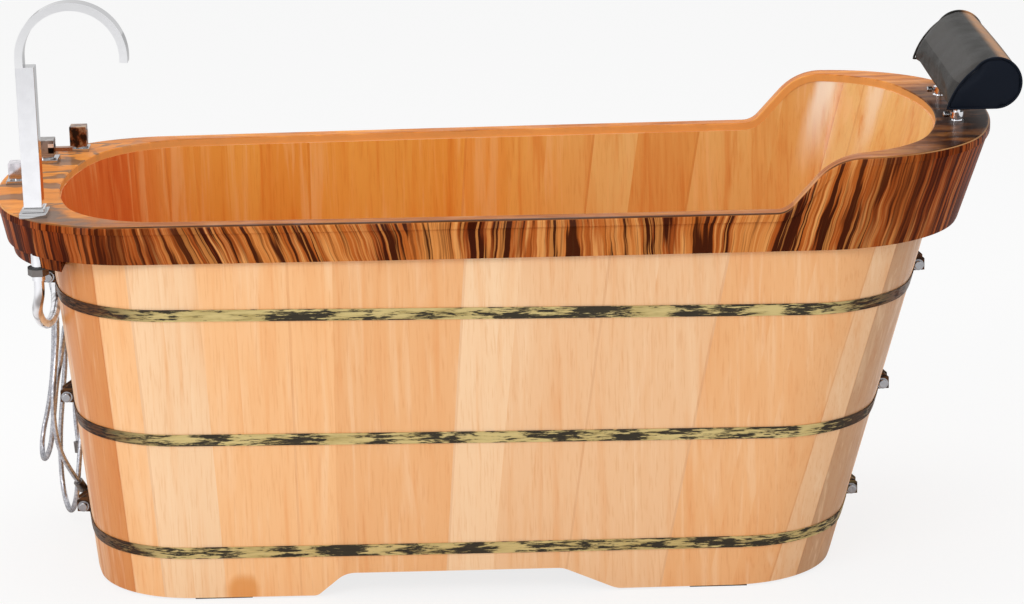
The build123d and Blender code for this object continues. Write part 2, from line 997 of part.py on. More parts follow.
def spout_column():
    """The square column, standing on its spigot."""
    x, y = spout_place
    foot = rim_height + spout_base_height + spout_step_height + moving_gap
    with BuildPart() as column:
        add(square_block(x, y, foot, column_side, column_height - moving_gap, False))
        with BuildSketch(Plane.XY.offset(foot)):
            with Locations((x, y)):
                Circle(spigot_radius)
        extrude(amount=moving_gap - spigot_length)
    return column.part


def spout_gooseneck():
    """The flat gooseneck: a rise, then an arc of a little over half a turn, with a slot outlet."""
    x, y = spout_place
    root = rim_height + spout_base_height + spout_step_height + column_height
    centre_x = x - column_side / 2 + neck_thickness / 2 + neck_radius
    centre_z = root + neck_rise
    outer = neck_radius + neck_thickness / 2
    inner = neck_radius - neck_thickness / 2
    sweep_angle = 180 + neck_end_angle
    end_angle = math.radians(-neck_end_angle)
    with BuildPart() as neck:
        with BuildSketch(near_plane(centre_x, y, centre_z)):
            with BuildLine():
                CenterArc((0, 0), outer, 180, -sweep_angle)
                CenterArc((0, 0), inner, 180, -sweep_angle)
                Line((-outer, 0), (-outer, -neck_rise))
                Line((-outer, -neck_rise), (-inner, -neck_rise))
                Line((-inner, -neck_rise), (-inner, 0))
                Line(
                    (outer * math.cos(end_angle), outer * math.sin(end_angle)),
                    (inner * math.cos(end_angle), inner * math.sin(end_angle)),
                )
            make_face()
        extrude(amount=column_side / 2, both=True)
        mouth = Plane(
            origin=(
                centre_x + neck_radius * math.cos(end_angle),
                y,
                centre_z + neck_radius * math.sin(end_angle),
            ),
            x_dir=(0, 1, 0),
            z_dir=(math.sin(end_angle), 0, -math.cos(end_angle)),
        )
        with BuildSketch(mouth):
            Rectangle(neck_slot_width, neck_slot_height)
        extrude(amount=-neck_slot_depth, mode=Mode.SUBTRACT)
    return neck.part


def mixer_base():
    """The mixer's plate, the drum that its cap turns on, and its shank."""
    x, y = mixer_place
    with BuildPart() as base:
        add(square_block(x, y, rim_height, mixer_plate_side, mixer_plate_height))
        add(round_plate(x, y, rim_height, mixer_drum_radius, mixer_plate_height + mixer_drum_height))
        add(shank(x, y))
    return base.part


def mixer_cap():
    """The turning cap, slotted for the lever."""
    x, y = mixer_place
    foot = rim_height + mixer_plate_height + mixer_drum_height + moving_gap
    front = x + mixer_cap_side / 2
    pivot_x = front - lever_pivot_in
    pivot_z = foot + lever_slot_base + lever_eye_radius + moving_gap
    with BuildPart() as cap:
        add(square_block(x, y, foot, mixer_cap_side, mixer_cap_height))
        with BuildSketch(near_plane(front - lever_slot_depth / 2, y, foot + lever_slot_base)):
            with Locations((0, lever_slot_height / 2)):
                Rectangle(lever_slot_depth, lever_slot_height)
        extrude(amount=lever_slot_width / 2, both=True, mode=Mode.SUBTRACT)
        with BuildSketch(near_plane(pivot_x, y, pivot_z)):
            Circle(lever_pin_radius)
        extrude(amount=mixer_cap_side / 2, both=True, mode=Mode.SUBTRACT)
    return cap.part


def mixer_lever():
    """The lever, with its eye round the pin."""
    x, y = mixer_place
    foot = rim_height + mixer_plate_height + mixer_drum_height + moving_gap
    pivot_x = x + mixer_cap_side / 2 - lever_pivot_in
    pivot_z = foot + lever_slot_base + lever_eye_radius + moving_gap
    with BuildPart() as lever:
        with BuildSketch(near_plane(pivot_x, y, pivot_z)):
            Circle(lever_eye_radius)
            with Locations((lever_length / 2, 0)):
                Rectangle(lever_length, lever_thickness)
            Circle(lever_pin_radius + running_gap, mode=Mode.SUBTRACT)
        extrude(amount=lever_width / 2, both=True)
    return lever.part


def mixer_pin():
    """The pin that the lever tilts on."""
    x, y = mixer_place
    foot = rim_height + mixer_plate_height + mixer_drum_height + moving_gap
    pivot_x = x + mixer_cap_side / 2 - lever_pivot_in
    pivot_z = foot + lever_slot_base + lever_eye_radius + moving_gap
    with BuildPart() as pin:
        with BuildSketch(near_plane(pivot_x, y, pivot_z)):
            Circle(lever_pin_radius)
        extrude(amount=mixer_cap_side / 2, both=True)
    return pin.part


def mixer_inlets():
    """The block under the mixer's shank that its pipe and hoses screw into."""
    x, y = mixer_place
    with BuildPart() as block:
        with BuildSketch(Plane.XY.offset(inlet_bottom)):
            with Locations((x, y)):
                RectangleRounded(inlet_block_side, inlet_block_side, inlet_block_corner)
        extrude(amount=inlet_block_height)
    return block.part


def diverter_base():
    """The diverter's plate, drum and shank."""
    x, y = diverter_place
    drum = diverter_plate_height + diverter_drum_height
    with BuildPart() as base:
        add(square_block(x, y, rim_height, diverter_plate_side, diverter_plate_height))
        add(round_plate(x, y, rim_height, diverter_drum_radius, drum))
        depth = rim_height - diverter_shank_bottom
        add(round_plate(x, y, diverter_shank_bottom, diverter_shank_radius, depth))
    return base.part


def diverter_knob():
    """The square knob that turns on the diverter."""
    x, y = diverter_place
    foot = rim_height + diverter_plate_height + diverter_drum_height + moving_gap
    return square_block(x, y, foot, diverter_knob_side, diverter_knob_height)


def handset_guide():
    """The plate and tube that the hand shower stands in."""
    x, y = handset_place
    with BuildPart() as guide:
        add(square_block(x, y, rim_height, guide_plate_side, guide_plate_height))
        add(round_plate(x, y, shank_bottom, guide_tube_radius, rim_height - shank_bottom))
        with BuildSketch(Plane.XY.offset(shank_bottom)):
            with Locations((x, y)):
                Circle(guide_bore_radius)
        extrude(amount=rim_height + guide_plate_height - shank_bottom, mode=Mode.SUBTRACT)
    return guide.part


def hand_shower():
    """The hand shower: a square head on a round stem, with a spray face toward the tub."""
    x, y = handset_place
    seat = rim_height + guide_plate_height + moving_gap
    with BuildPart() as handset:
        add(square_block(x, y, seat + handset_seat, handset_head_side, handset_head_height))
        add(round_plate(x, y, seat, handset_seat_radius, handset_seat))
        add(round_plate(x, y, handset_stem_bottom, handset_stem_radius, seat - handset_stem_bottom))
        face = Plane(
            origin=(x + handset_head_side / 2, y, seat + handset_seat + handset_head_height / 2),
            x_dir=(0, 1, 0),
            z_dir=(1, 0, 0),
        )
        with BuildSketch(face):
            Circle(spray_face_radius)
        extrude(amount=spray_face_height)
    return handset.part


def cushion_section(y, grow):
    """Side view of the cushion at a place along its length, grown all round."""
    radius = cushion_round + grow
    centre_x = cushion_back_x - cushion_round
    centre_z = cushion_base_height + cushion_round
    tip = (centre_x - cushion_nose - grow, centre_z - radius)
    away = math.hypot(tip[0] - centre_x, tip[1] - centre_z)
    toward_tip = math.atan2(tip[1] - centre_z, tip[0] - centre_x)
    touch = toward_tip - math.acos(radius / away) + math.pi + math.pi
    under, low, side, back, top = (
        (centre_x + radius * math.cos(angle), centre_z + radius * math.sin(angle))
        for angle in (-math.pi / 2, -math.pi / 4, 0, touch / 2, touch)
    )
    slant = math.hypot(top[0] - tip[0], top[1] - tip[1])
    face = (
        (top[0] + tip[0]) / 2 - (top[1] - tip[1]) * cushion_face_bulge / slant,
        (top[1] + tip[1]) / 2 + (top[0] - tip[0]) * cushion_face_bulge / slant,
    )
    with BuildSketch(near_plane(0, y, 0)) as section:
        with BuildLine():
            Line(tip, under)
            ThreePointArc(under, low, side)
            ThreePointArc(side, back, top)
            ThreePointArc(top, face, tip)
        make_face()
    return section.sketch


def headrest_cushion():
    """The padded headrest, fullest at the middle of its length."""
    half = cushion_length / 2
    places = ((-half, -cushion_drawn_in), (0, 0), (half, -cushion_drawn_in))
    with BuildPart() as cushion:
        loft([cushion_section(y, grow) for y, grow in places])
    return cushion.part


def headrest_plate():
    """The metal plate under the cushion."""
    middle_x = cushion_back_x - plate_from_back + plate_width / 2
    with BuildPart() as plate:
        with BuildSketch(Plane.XY.offset(cushion_base_height - cushion_seat_gap - plate_thickness)):
            with Locations((middle_x, 0)):
                Rectangle(plate_width, plate_length)
        extrude(amount=plate_thickness)
    return plate.part


def headrest_rods():
    """The two rods that carry the plate."""
    top = cushion_base_height - cushion_seat_gap - plate_thickness
    return [round_plate(x, y, rod_bottom, rod_radius, top - rod_bottom) for x, y in rod_places]


def rod_sockets():
    """The flanged sockets on the head deck, each with a collar for its locking screw."""
    sockets = []
    for x, y in rod_places:
        with BuildPart() as socket:
            add(round_plate(x, y, head_height, socket_flange_radius, socket_flange_height))
            add(round_plate(x, y, head_height, socket_radius, socket_height))
            add(round_plate(x, y, head_height + socket_height, collar_radius, collar_height))
            with BuildSketch(Plane.XY.offset(head_height)):
                with Locations((x, y)):
                    Circle(rod_radius + rod_gap)
            extrude(amount=socket_height + collar_height, mode=Mode.SUBTRACT)
            with BuildSketch(screw_plane(x, y)):
                Circle(screw_radius + running_gap)
            extrude(amount=-collar_radius, mode=Mode.SUBTRACT)
        sockets.append(socket.part)
    return sockets


def screw_plane(x, y):
    """Outer face of a collar where its screw goes in, facing the tub."""
    height = head_height + socket_height + collar_height / 2
    return Plane(origin=(x - collar_radius, y, height), x_dir=(0, 1, 0), z_dir=(-1, 0, 0))


def lock_screw(x, y):
    """A thumb screw with a round head."""
    plane = screw_plane(x, y)
    with BuildPart() as screw:
        with BuildSketch(plane):
            Circle(screw_radius)
        extrude(amount=screw_head_out)
        with BuildSketch(plane):
            Circle(screw_radius)
        extrude(amount=-(collar_radius - rod_radius - screw_tip_gap))
        with BuildSketch(plane.offset(screw_head_out)):
            Circle(screw_head_radius)
        extrude(amount=screw_head_length)
        fillet(screw.faces().sort_by(Axis.X)[0].edges(), screw_radius)
    return screw.part


def bend_radii(points):
    """The largest even radius that each corner of a hose's route leaves room for."""
    radii = []
    for before, here, after in zip(points, points[1:], points[2:]):
        first = Vector(*here) - Vector(*before)
        second = Vector(*after) - Vector(*here)
        half_turn = math.radians(first.get_angle(second)) / 2
        radii.append(bend_share * min(first.length, second.length) / math.tan(half_turn))
    return radii


def hose(name, route, radius):
    """A hose along its route: straight runs joined by tangent arcs."""
    points = [(foot_x + x, y, z) for x, y, z in route]
    radii = bend_radii(points)
    with BuildPart() as tube:
        with BuildLine() as path:
            FilletPolyline(*points, radius=radii)
        start = Vector(*points[1]) - Vector(*points[0])
        with BuildSketch(Plane(origin=points[0], z_dir=start)):
            Circle(radius)
        sweep(path=path.wire())
    length = path.wire().length
    filled = tube.part.volume / (math.pi * radius**2 * length)
    print(f"{name} length {length:.0f}, least radius {min(radii):.0f}, filled share {filled:.4f}")
    return tube.part


def hose_nut(route):
    """A round nut on the free end of a hose, along its last run."""
    before, end = (Vector(foot_x + x, y, z) for x, y, z in route[-2:])
    with BuildPart() as nut:
        with BuildSketch(Plane(origin=end, z_dir=end - before)):
            Circle(hose_nut_radius)
            Circle(hose_nut_bore, mode=Mode.SUBTRACT)
        extrude(amount=hose_nut_length)
    return nut.part


def port(place):
    """A port of the mixer's inlet block, in a hose route's terms."""
    return mixer_in + place[0], mixer_side + place[1]


link_route = (
    (spout_in, spout_side, shank_bottom),
    (spout_in, spout_side, 478),
    (76, -209, 448),
    (77, -178, 423),
    (79, -132, 405),
    (79, -80, 395),
    (77, -24, 390),
    (74, 34, 395),
    (68, 84, 408),
    (60, 116, 434),
    (*port(link_port), 462),
    (*port(link_port), inlet_bottom),
)
hot_route = (
    (*port(hot_port), inlet_bottom),
    (*port(hot_port), 454),
    (53, 124, 415),
    (64, 95, 375),
    (68, 62, 334),
    (65, 30, 290),
    (61, 12, 241),
    (61, 8, 194),
    (67, 13, 152),
    (79, 22, 118),
    (91, 32, 93),
)
cold_route = (
    (*port(cold_port), inlet_bottom),
    (*port(cold_port), 444),
    (80, 144, 393),
    (88, 139, 336),
    (86, 132, 277),
    (82, 126, 220),
    (81, 120, 172),
    (84, 117, 134),
)
shower_route = (
    (handset_in, handset_side, handset_stem_bottom),
    (handset_in, handset_side, 436),
    (101, 196, 363),
    (102, 150, 298),
    (99, 106, 225),
    (95, 70, 156),
    (89, 52, 96),
    (84, 52, 56),
    (71, 84, 22),
    (57, 127, 21),
    (47, 159, 54),
    (48, 162, 130),
    (58, 163, 209),
    (64, 163, 252),
    (66, 162, 296),
    (72, 131, 330),
    (76, 85, 330),
    (73, 53, 298),
    (64, 49, 260),
    (56, 50, 203),
    (49, 52, 152),
    (34, 82, 115),
    (22, 126, 106),
    (19, 161, 132),
    (33, 166, 184),
    (44, 164, 249),
    (49, 162, 310),
    (52, 160, 366),
    (54, 159, 414),
    (*port(shower_port), 456),
    (*port(shower_port), inlet_bottom),
)

os.makedirs("parts", exist_ok=True)

write_node("staves_front", *stave_group((0,)))
write_node("staves_head_end", *stave_group((1, 2, 3)))
write_node("staves_back", *stave_group((4,)))
write_node("staves_foot_end", *stave_group((5, 6, 7)))
write_node("floor_boards", *floor_boards())
write_node("floor_bearers", *floor_bearers())
write_node("foot_pads", *foot_pads())

coping = coping_ring()
band = band_ring()
with BuildPart() as foot_deck:
    add(part_between(coping, foot_x - cut_overrun, foot_joint_x))
    add(holes, mode=Mode.SUBTRACT)
with BuildPart() as head_deck:
    add(part_between(coping, head_joint_x, head_x + cut_overrun))
    add(wells, mode=Mode.SUBTRACT)
write_node("foot_deck", foot_deck.part)
write_node("head_deck", head_deck.part)
write_node("coping_front", part_between(coping, foot_joint_x, head_joint_x, -1))
write_node("coping_back", part_between(coping, foot_joint_x, head_joint_x, 1))
write_node("band_foot_end", part_between(band, foot_x - cut_overrun, foot_joint_x))
write_node("band_head_end", part_between(band, head_joint_x, head_x + cut_overrun))
write_node("band_front", part_between(band, foot_joint_x, head_joint_x, -1))
write_node("band_back", part_between(band, foot_joint_x, head_joint_x, 1))
write_node("tap_ledge", tap_ledge())

bolts = []
nuts = []
for hoop_name, hoop_height, hoop_fall in zip(hoop_names, hoop_heights, hoop_falls):
    front = hoop_half(hoop_height, hoop_fall)
    with BuildPart() as back:
        mirror(front, about=Plane.XZ)
    write_node(f"{hoop_name}_hoop_front", front)
    write_node(f"{hoop_name}_hoop_back", back.part)
    for wall_x, outward in hoop_ends:
        place = bolt_place(hoop_height, hoop_fall, wall_x, outward)
        bolts.append(draw_bolt(*place))
        nuts.append(draw_nut(*place))
write_node("hoop_bolts", *bolts)
write_node("hoop_nuts", *nuts)

seal_bottom = floor_underside - waste_seal_height
write_node("waste_flange", waste_flange())
waste_nut_bore = waste_tube_radius + nut_gap
write_node(
    "waste_seal",
    round_plate(waste_x, 0, seal_bottom, waste_seal_radius, waste_seal_height, waste_nut_bore),
)
write_node(
    "waste_nut", hex_nut(waste_x, 0, seal_bottom, waste_nut_flats, waste_nut_height, waste_nut_bore)
)
write_node("waste_tailpiece", waste_tailpiece())
write_node("waste_plug", waste_plug())

write_node("spout_base", spout_base())
write_node("spout_column", spout_column())
write_node("spout_gooseneck", spout_gooseneck())
write_node("mixer_base", mixer_base())
write_node("mixer_cap", mixer_cap())
write_node("mixer_lever", mixer_lever())
write_node("mixer_pin", mixer_pin())
write_node("diverter_base", diverter_base())
write_node("diverter_knob", diverter_knob())
write_node("handset_guide", handset_guide())
write_node("hand_shower", hand_shower())
nut_top = ledge_bottom - tap_washer_height
nut_bore = shank_radius + nut_gap
tap_washers = []
tap_nuts = []
for x, y in tap_places:
    tap_washers.append(round_plate(x, y, nut_top, tap_washer_radius, tap_washer_height, nut_bore))
    tap_nuts.append(hex_nut(x, y, nut_top, tap_nut_flats, tap_nut_height, nut_bore))
write_node("tap_washers", *tap_washers)
write_node("tap_nuts", *tap_nuts)
write_node(
    "guide_nut",
    hex_nut(*handset_place, ledge_bottom, guide_nut_flats, tap_nut_height, guide_tube_radius + nut_gap),
)
write_node("mixer_inlets", mixer_inlets())
write_node("link_pipe", hose("link_pipe", link_route, link_radius))
write_node("shower_hose", hose("shower_hose", shower_route, hose_radius))
write_node("hot_hose", hose("hot_hose", hot_route, hose_radius))
write_node("cold_hose", hose("cold_hose", cold_route, hose_radius))
write_node("hot_hose_nut", hose_nut(hot_route))
write_node("cold_hose_nut", hose_nut(cold_route))

write_node("headrest_cushion", headrest_cushion())
write_node("headrest_plate", headrest_plate())
write_node("headrest_rods", *headrest_rods())
write_node("rod_sockets", *rod_sockets())
write_node("lock_screw_near", lock_screw(*rod_places[0]))
write_node("lock_screw_far", lock_screw(*rod_places[1]))
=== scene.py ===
"""A freestanding wooden bathtub, finished for the camera: woods, metals, hoses and a leather headrest.

Metres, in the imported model's frame: X along the tub toward the headrest, Z up from the floor.
"""

import json
import math

import bmesh
import bpy
from mathutils import Matrix, Vector


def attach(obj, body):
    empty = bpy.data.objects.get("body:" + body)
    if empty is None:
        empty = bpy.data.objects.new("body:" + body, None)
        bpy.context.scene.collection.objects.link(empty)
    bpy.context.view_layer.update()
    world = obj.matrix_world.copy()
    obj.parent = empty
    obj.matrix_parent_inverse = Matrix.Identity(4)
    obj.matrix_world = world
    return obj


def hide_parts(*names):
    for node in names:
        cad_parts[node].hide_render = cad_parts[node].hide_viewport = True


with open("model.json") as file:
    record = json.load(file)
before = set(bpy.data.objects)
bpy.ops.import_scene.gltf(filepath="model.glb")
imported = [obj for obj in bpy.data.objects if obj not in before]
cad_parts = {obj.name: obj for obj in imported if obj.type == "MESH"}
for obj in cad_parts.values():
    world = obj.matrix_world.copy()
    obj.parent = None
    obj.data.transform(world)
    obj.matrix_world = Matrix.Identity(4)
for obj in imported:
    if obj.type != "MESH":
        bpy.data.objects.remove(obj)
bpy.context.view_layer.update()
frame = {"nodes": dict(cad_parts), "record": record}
nodes = frame["nodes"]
scene = bpy.context.scene

# Photograph
photo_width = 1024
camera_focal_px = 3292
camera_place = (-0.0187, -5.0548, 1.779)
camera_yaw = 0.362
camera_pitch = 15.418
camera_roll = -1.374
sensor_width = 36

# Places taken over from the part's source, in metres
foot_x = -0.789
cushion_back_x = 0.789
cushion_round = 0.04
cushion_nose = 0.075
cushion_base_height = 0.722
cushion_half_length = 0.198
hose_radius = 0.0045
floor_width = 0.568
floor_board_count = 6
deck_top = 0.6085
spout_base_top = 0.6165
column_top = 0.8295

# Where the tub's long middle line ends, for telling outside from inside
middle_line = (-0.4, 0.35)

# Places taken over from the part's source, in millimetres from the foot end of the rim
mixer_in = 56
mixer_side = 145
handset_in = 101
handset_side = 222
handset_stem_bottom = 486
inlet_bottom = 484

# Outputs of shader nodes
object_place = 3
surface_normal = 1
mix_color = 2


class Wire:
    """A socket of a finish, which sums can be written with."""

    def __init__(self, finish, socket):
        self.finish = finish
        self.socket = socket

    def sum(self, operation, *others):
        return self.finish.math(operation, self, *others)

    def __add__(self, other):
        return self.sum("ADD", other)

    def __sub__(self, other):
        return self.sum("SUBTRACT", other)

    def __rsub__(self, other):
        return self.finish.math("SUBTRACT", other, self)

    def __mul__(self, other):
        return self.sum("MULTIPLY", other)

    def __truediv__(self, other):
        return self.sum("DIVIDE", other)

    def __gt__(self, other):
        return self.sum("GREATER_THAN", other)

    def __lt__(self, other):
        return self.sum("LESS_THAN", other)

    def __abs__(self):
        return self.sum("ABSOLUTE")

    def floor(self):
        return self.sum("FLOOR")

    def part(self):
        return self.sum("FRACT")


class Finish:
    """A material in the making."""

    def __init__(self, name, roughness=0.5, metallic=0.0, coat_roughness=0.05, specular=0.5):
        self.material = bpy.data.materials.new(name)
        self.material.use_nodes = True
        self.tree = self.material.node_tree
        self.shader = self.tree.nodes["Principled BSDF"]
        self.set("Roughness", roughness)
        self.set("Metallic", metallic)
        self.set("Coat Roughness", coat_roughness)
        self.set("Specular IOR Level", specular)

    def add(self, kind, settings, *values, output=0, **named):
        """Add a node: its type, its settings, then the values or links of its sockets."""
        node = self.tree.nodes.new(kind)
        for key, value in settings.items():
            setattr(node, key, value)
        for place, value in list(enumerate(values)) + list(named.items()):
            self.plug(node.inputs[place], value)
        return Wire(self, node.outputs[output])

    def plug(self, socket, value):
        """Give a socket a link or a value."""
        if isinstance(value, Wire):
            self.tree.links.new(value.socket, socket)
        elif isinstance(value, tuple) and len(value) < len(socket.default_value):
            socket.default_value = (*value, 1)
        else:
            socket.default_value = value

    def set(self, name, value):
        self.plug(self.shader.inputs[name], value)

    def math(self, operation, *values):
        return self.add("ShaderNodeMath", {"operation": operation}, *values)

    def place(self):
        """Object coordinates of the point."""
        return self.add("ShaderNodeTexCoord", {}, output=object_place)

    def normal(self):
        """The face's own direction."""
        return self.split(self.add("ShaderNodeNewGeometry", {}, output=surface_normal))

    def split(self, vector):
        node = self.tree.nodes.new("ShaderNodeSeparateXYZ")
        self.tree.links.new(vector.socket, node.inputs[0])
        return [Wire(self, socket) for socket in node.outputs]

    def join(self, x, y, z):
        return self.add("ShaderNodeCombineXYZ", {}, x, y, z)

    def noise(self, vector, scale=1.0, detail=2.0, roughness=0.5, distortion=0.0):
        return self.add(
            "ShaderNodeTexNoise",
            {},
            Vector=vector,
            Scale=scale,
            Detail=detail,
            Roughness=roughness,
            Distortion=distortion,
        )

    def clamp(self, value, low, high):
        return self.add("ShaderNodeClamp", {}, value, low, high)

    def dice(self, number):
        """A steady random value from 0 to 1 for each whole number."""
        return self.add("ShaderNodeTexWhiteNoise", {"noise_dimensions": "1D"}, W=number)

    def between(self, value, low, high, first=0.0, last=1.0):
        """The value's place from low to high, softly held inside, scaled from first to last."""
        soft = {"interpolation_type": "SMOOTHSTEP"}
        return self.add("ShaderNodeMapRange", soft, value, low, high, first, last)

    def between_straight(self, value, low, high):
        """The value's place from low to high, from 0 to 1."""
        return self.add("ShaderNodeMapRange", {}, value, low, high, 0.0, 1.0)

    def ramp(self, value, stops, interpolation="LINEAR"):
        """Colours or greys at stops along a value; a grey is one number."""
        node = self.tree.nodes.new("ShaderNodeValToRGB")
        ramp = node.color_ramp
        ramp.interpolation = interpolation
        while len(ramp.elements) < len(stops):
            ramp.elements.new(1)
        for element, (place, color) in zip(ramp.elements, stops):
            element.position = place
            element.color = (*color, 1) if isinstance(color, tuple) else (color, color, color, 1)
        self.tree.links.new(value.socket, node.inputs[0])
        return Wire(self, node.outputs[0])

    def steps(self, value, edges, colors):
        """Colours that change at each edge."""
        return self.ramp(value, tuple(zip((0.0, *edges), colors)), "CONSTANT")

    def mix(self, factor, first, second, how="MIX"):
        """Blend two colours, or a colour with a link."""
        node = self.tree.nodes.new("ShaderNodeMix")
        node.data_type = "RGBA"
        node.blend_type = how
        for name, value in (("Factor_Float", factor), ("A_Color", first), ("B_Color", second)):
            self.plug(next(socket for socket in node.inputs if socket.identifier == name), value)
        return Wire(self, node.outputs[mix_color])

    def tinted(self, factor, tone, tint):
        """The tone, multiplied by a tint as far as the factor says."""
        return self.mix(factor, tone, self.mix(1.0, tone, tint, "MULTIPLY"))

    def bump(self, height, strength, distance=0.001):
        wire = self.add("ShaderNodeBump", {}, Strength=strength, Distance=distance, Height=height)
        self.set("Normal", wire)

    def outward(self, x, y):
        """More than zero where a face looks away from the tub's long middle line."""
        across_x, across_y, _ = self.normal()
        return across_x * (x - self.clamp(x, *middle_line)) + across_y * y


# Staves: shares of the straight side, and of the way round each end, at which one board meets the next
side_edges = (0.056, 0.112, 0.196, 0.264, 0.372, 0.464, 0.548, 0.604, 0.684, 0.76, 0.864, 0.952)
end_edges = (0.19, 0.385, 0.57, 0.742, 0.88, 0.968)
side_seam_width = 0.0009
end_seam_width = 0.003

# Lines where the straight sides end: X at the floor, its change with height, and what the inside adds to that
foot_line, foot_line_lean, foot_line_inside = -0.4858, -0.0597, 0.0222
head_line, head_line_lean, head_line_inside = 0.3393, 0.2423, -0.0323
half_width, half_width_lean, wall_width = 0.283, 0.033, 0.02

# Tones of the boards that chance decides, on the far side
chance_tones = (
    (0.0, (0.86, 0.47, 0.22)),
    (0.3, (0.88, 0.54, 0.29)),
    (0.55, (0.83, 0.43, 0.19)),
    (0.8, (0.87, 0.51, 0.26)),
    (1.0, (0.80, 0.38, 0.15)),
)

# Six tones of the near boards, and which board of the side and of each end has which
pale, peach, tan = (0.88, 0.58, 0.34), (0.88, 0.49, 0.23), (0.83, 0.50, 0.27)
# dim is a board tone darkened by painted shade
orange, deep, dim = (0.82, 0.43, 0.19), (0.66, 0.26, 0.08), (0.56, 0.31, 0.16)
side_tones = (pale, peach, peach, peach, orange, orange, pale, tan, tan, tan, tan, orange, orange)
foot_tones = (peach, tan, orange, deep, deep, peach, pale)
# The head end's middle corner boards take dim, with painted shade where the corner turns away from the light
head_tones = (orange, tan, orange, dim, dim, tan, orange)

# The inside is red-brown at the foot, orange in the middle and pale at the head
inside_foot, inside_middle, inside_head = (0.80, 0.32, 0.13), (0.95, 0.72, 0.24), (0.95, 0.95, 0.62)
inside_tints = ((0.05, inside_foot), (0.15, inside_middle), (0.48, inside_middle), (0.64, inside_head))
inside_half_length = 0.7

# Figure of the staves: shades multiply the board's colour, lights are mixed in
flame_shade = (0.93, 0.74, 0.55)
flame_light = (0.92, 0.66, 0.42)
flame_light_inside = (0.86, 0.36, 0.09)
streak_shade = (0.93, 0.72, 0.52)
streak_light = (0.93, 0.68, 0.44)
streak_light_inside = (0.90, 0.42, 0.13)
grain_shade = (0.84, 0.66, 0.50)
shade_inside = (0.90, 0.66, 0.48)
light_inside = (0.95, 0.66, 0.34)
seam_shade = (0.72, 0.5, 0.36)
# Not the wood's own colour: it colours a painted highlight inside the head end
painted_sheen_tone = (1.0, 0.91, 0.74)
knot_tone = (0.62, 0.24, 0.07)
patch_tone = (0.70, 0.27, 0.06)

# Painted highlight down the inside of the head end, a pale sheen painted into the colour: its X at the floor,
# its lean, and a second one's turn
sheen_x, sheen_lean, sheen_half_width = 0.364, 0.27, 0.026
second_sheen_turn, second_sheen_half_width = 0.80, 0.07

# Orange patch low on the near side
patch_x, patch_height, patch_radius = -0.413, 0.012, 0.03


def board_chances(edges, seed):
    """A steady value for each board."""
    return [((index * 37 + seed) % 101) / 100 for index in range(len(edges) + 1)]


def seam_lines(wood, value, edges, reach):
    """White in a thin line at each edge."""
    stops = [(0.0, 0.0)]
    for edge in edges:
        stops += [(edge - reach, 1.0), (edge + reach, 0.0)]
    return wood.ramp(value, stops, "CONSTANT")


def board_place(x, y, z, inside):
    """The share along the straight side, under 0 and over 1 at the ends, and the turn round an end."""
    start = z * (inside * foot_line_inside + foot_line_lean) + foot_line
    end = z * (inside * head_line_inside + head_line_lean) + head_line
    return (x - start) / (end - start), abs(y) / (z * half_width_lean + half_width - inside * wall_width)


def stave_figure(wood, tone, inside, flame, streak, grain):
    """Flames, streaks and grain on a board's colour."""
    tone = wood.tinted(wood.between(flame, 0.52, 0.74) * 0.42, tone, flame_shade)
    light = wood.mix(inside, flame_light, flame_light_inside)
    tone = wood.mix(wood.between(flame, 0.45, 0.27) * 0.3, tone, light)
    tone = wood.tinted(wood.between(streak, 0.5, 0.74) * 0.5, tone, streak_shade)
    light = wood.mix(inside, streak_light, streak_light_inside)
    tone = wood.mix(wood.between(streak, 0.46, 0.3) * 0.26, tone, light)
    tone = wood.tinted(wood.between(grain, 0.52, 0.7) * 0.36, tone, grain_shade)
    dark = wood.between(streak * 0.5 + flame * 0.5, 0.50, 0.64)
    tone = wood.tinted(inside * dark * 0.6, tone, shade_inside)
    pale = wood.between(streak * 0.6 + flame * 0.4, 0.47, 0.36)
    return wood.mix(inside * pale * 0.2, tone, light_inside)


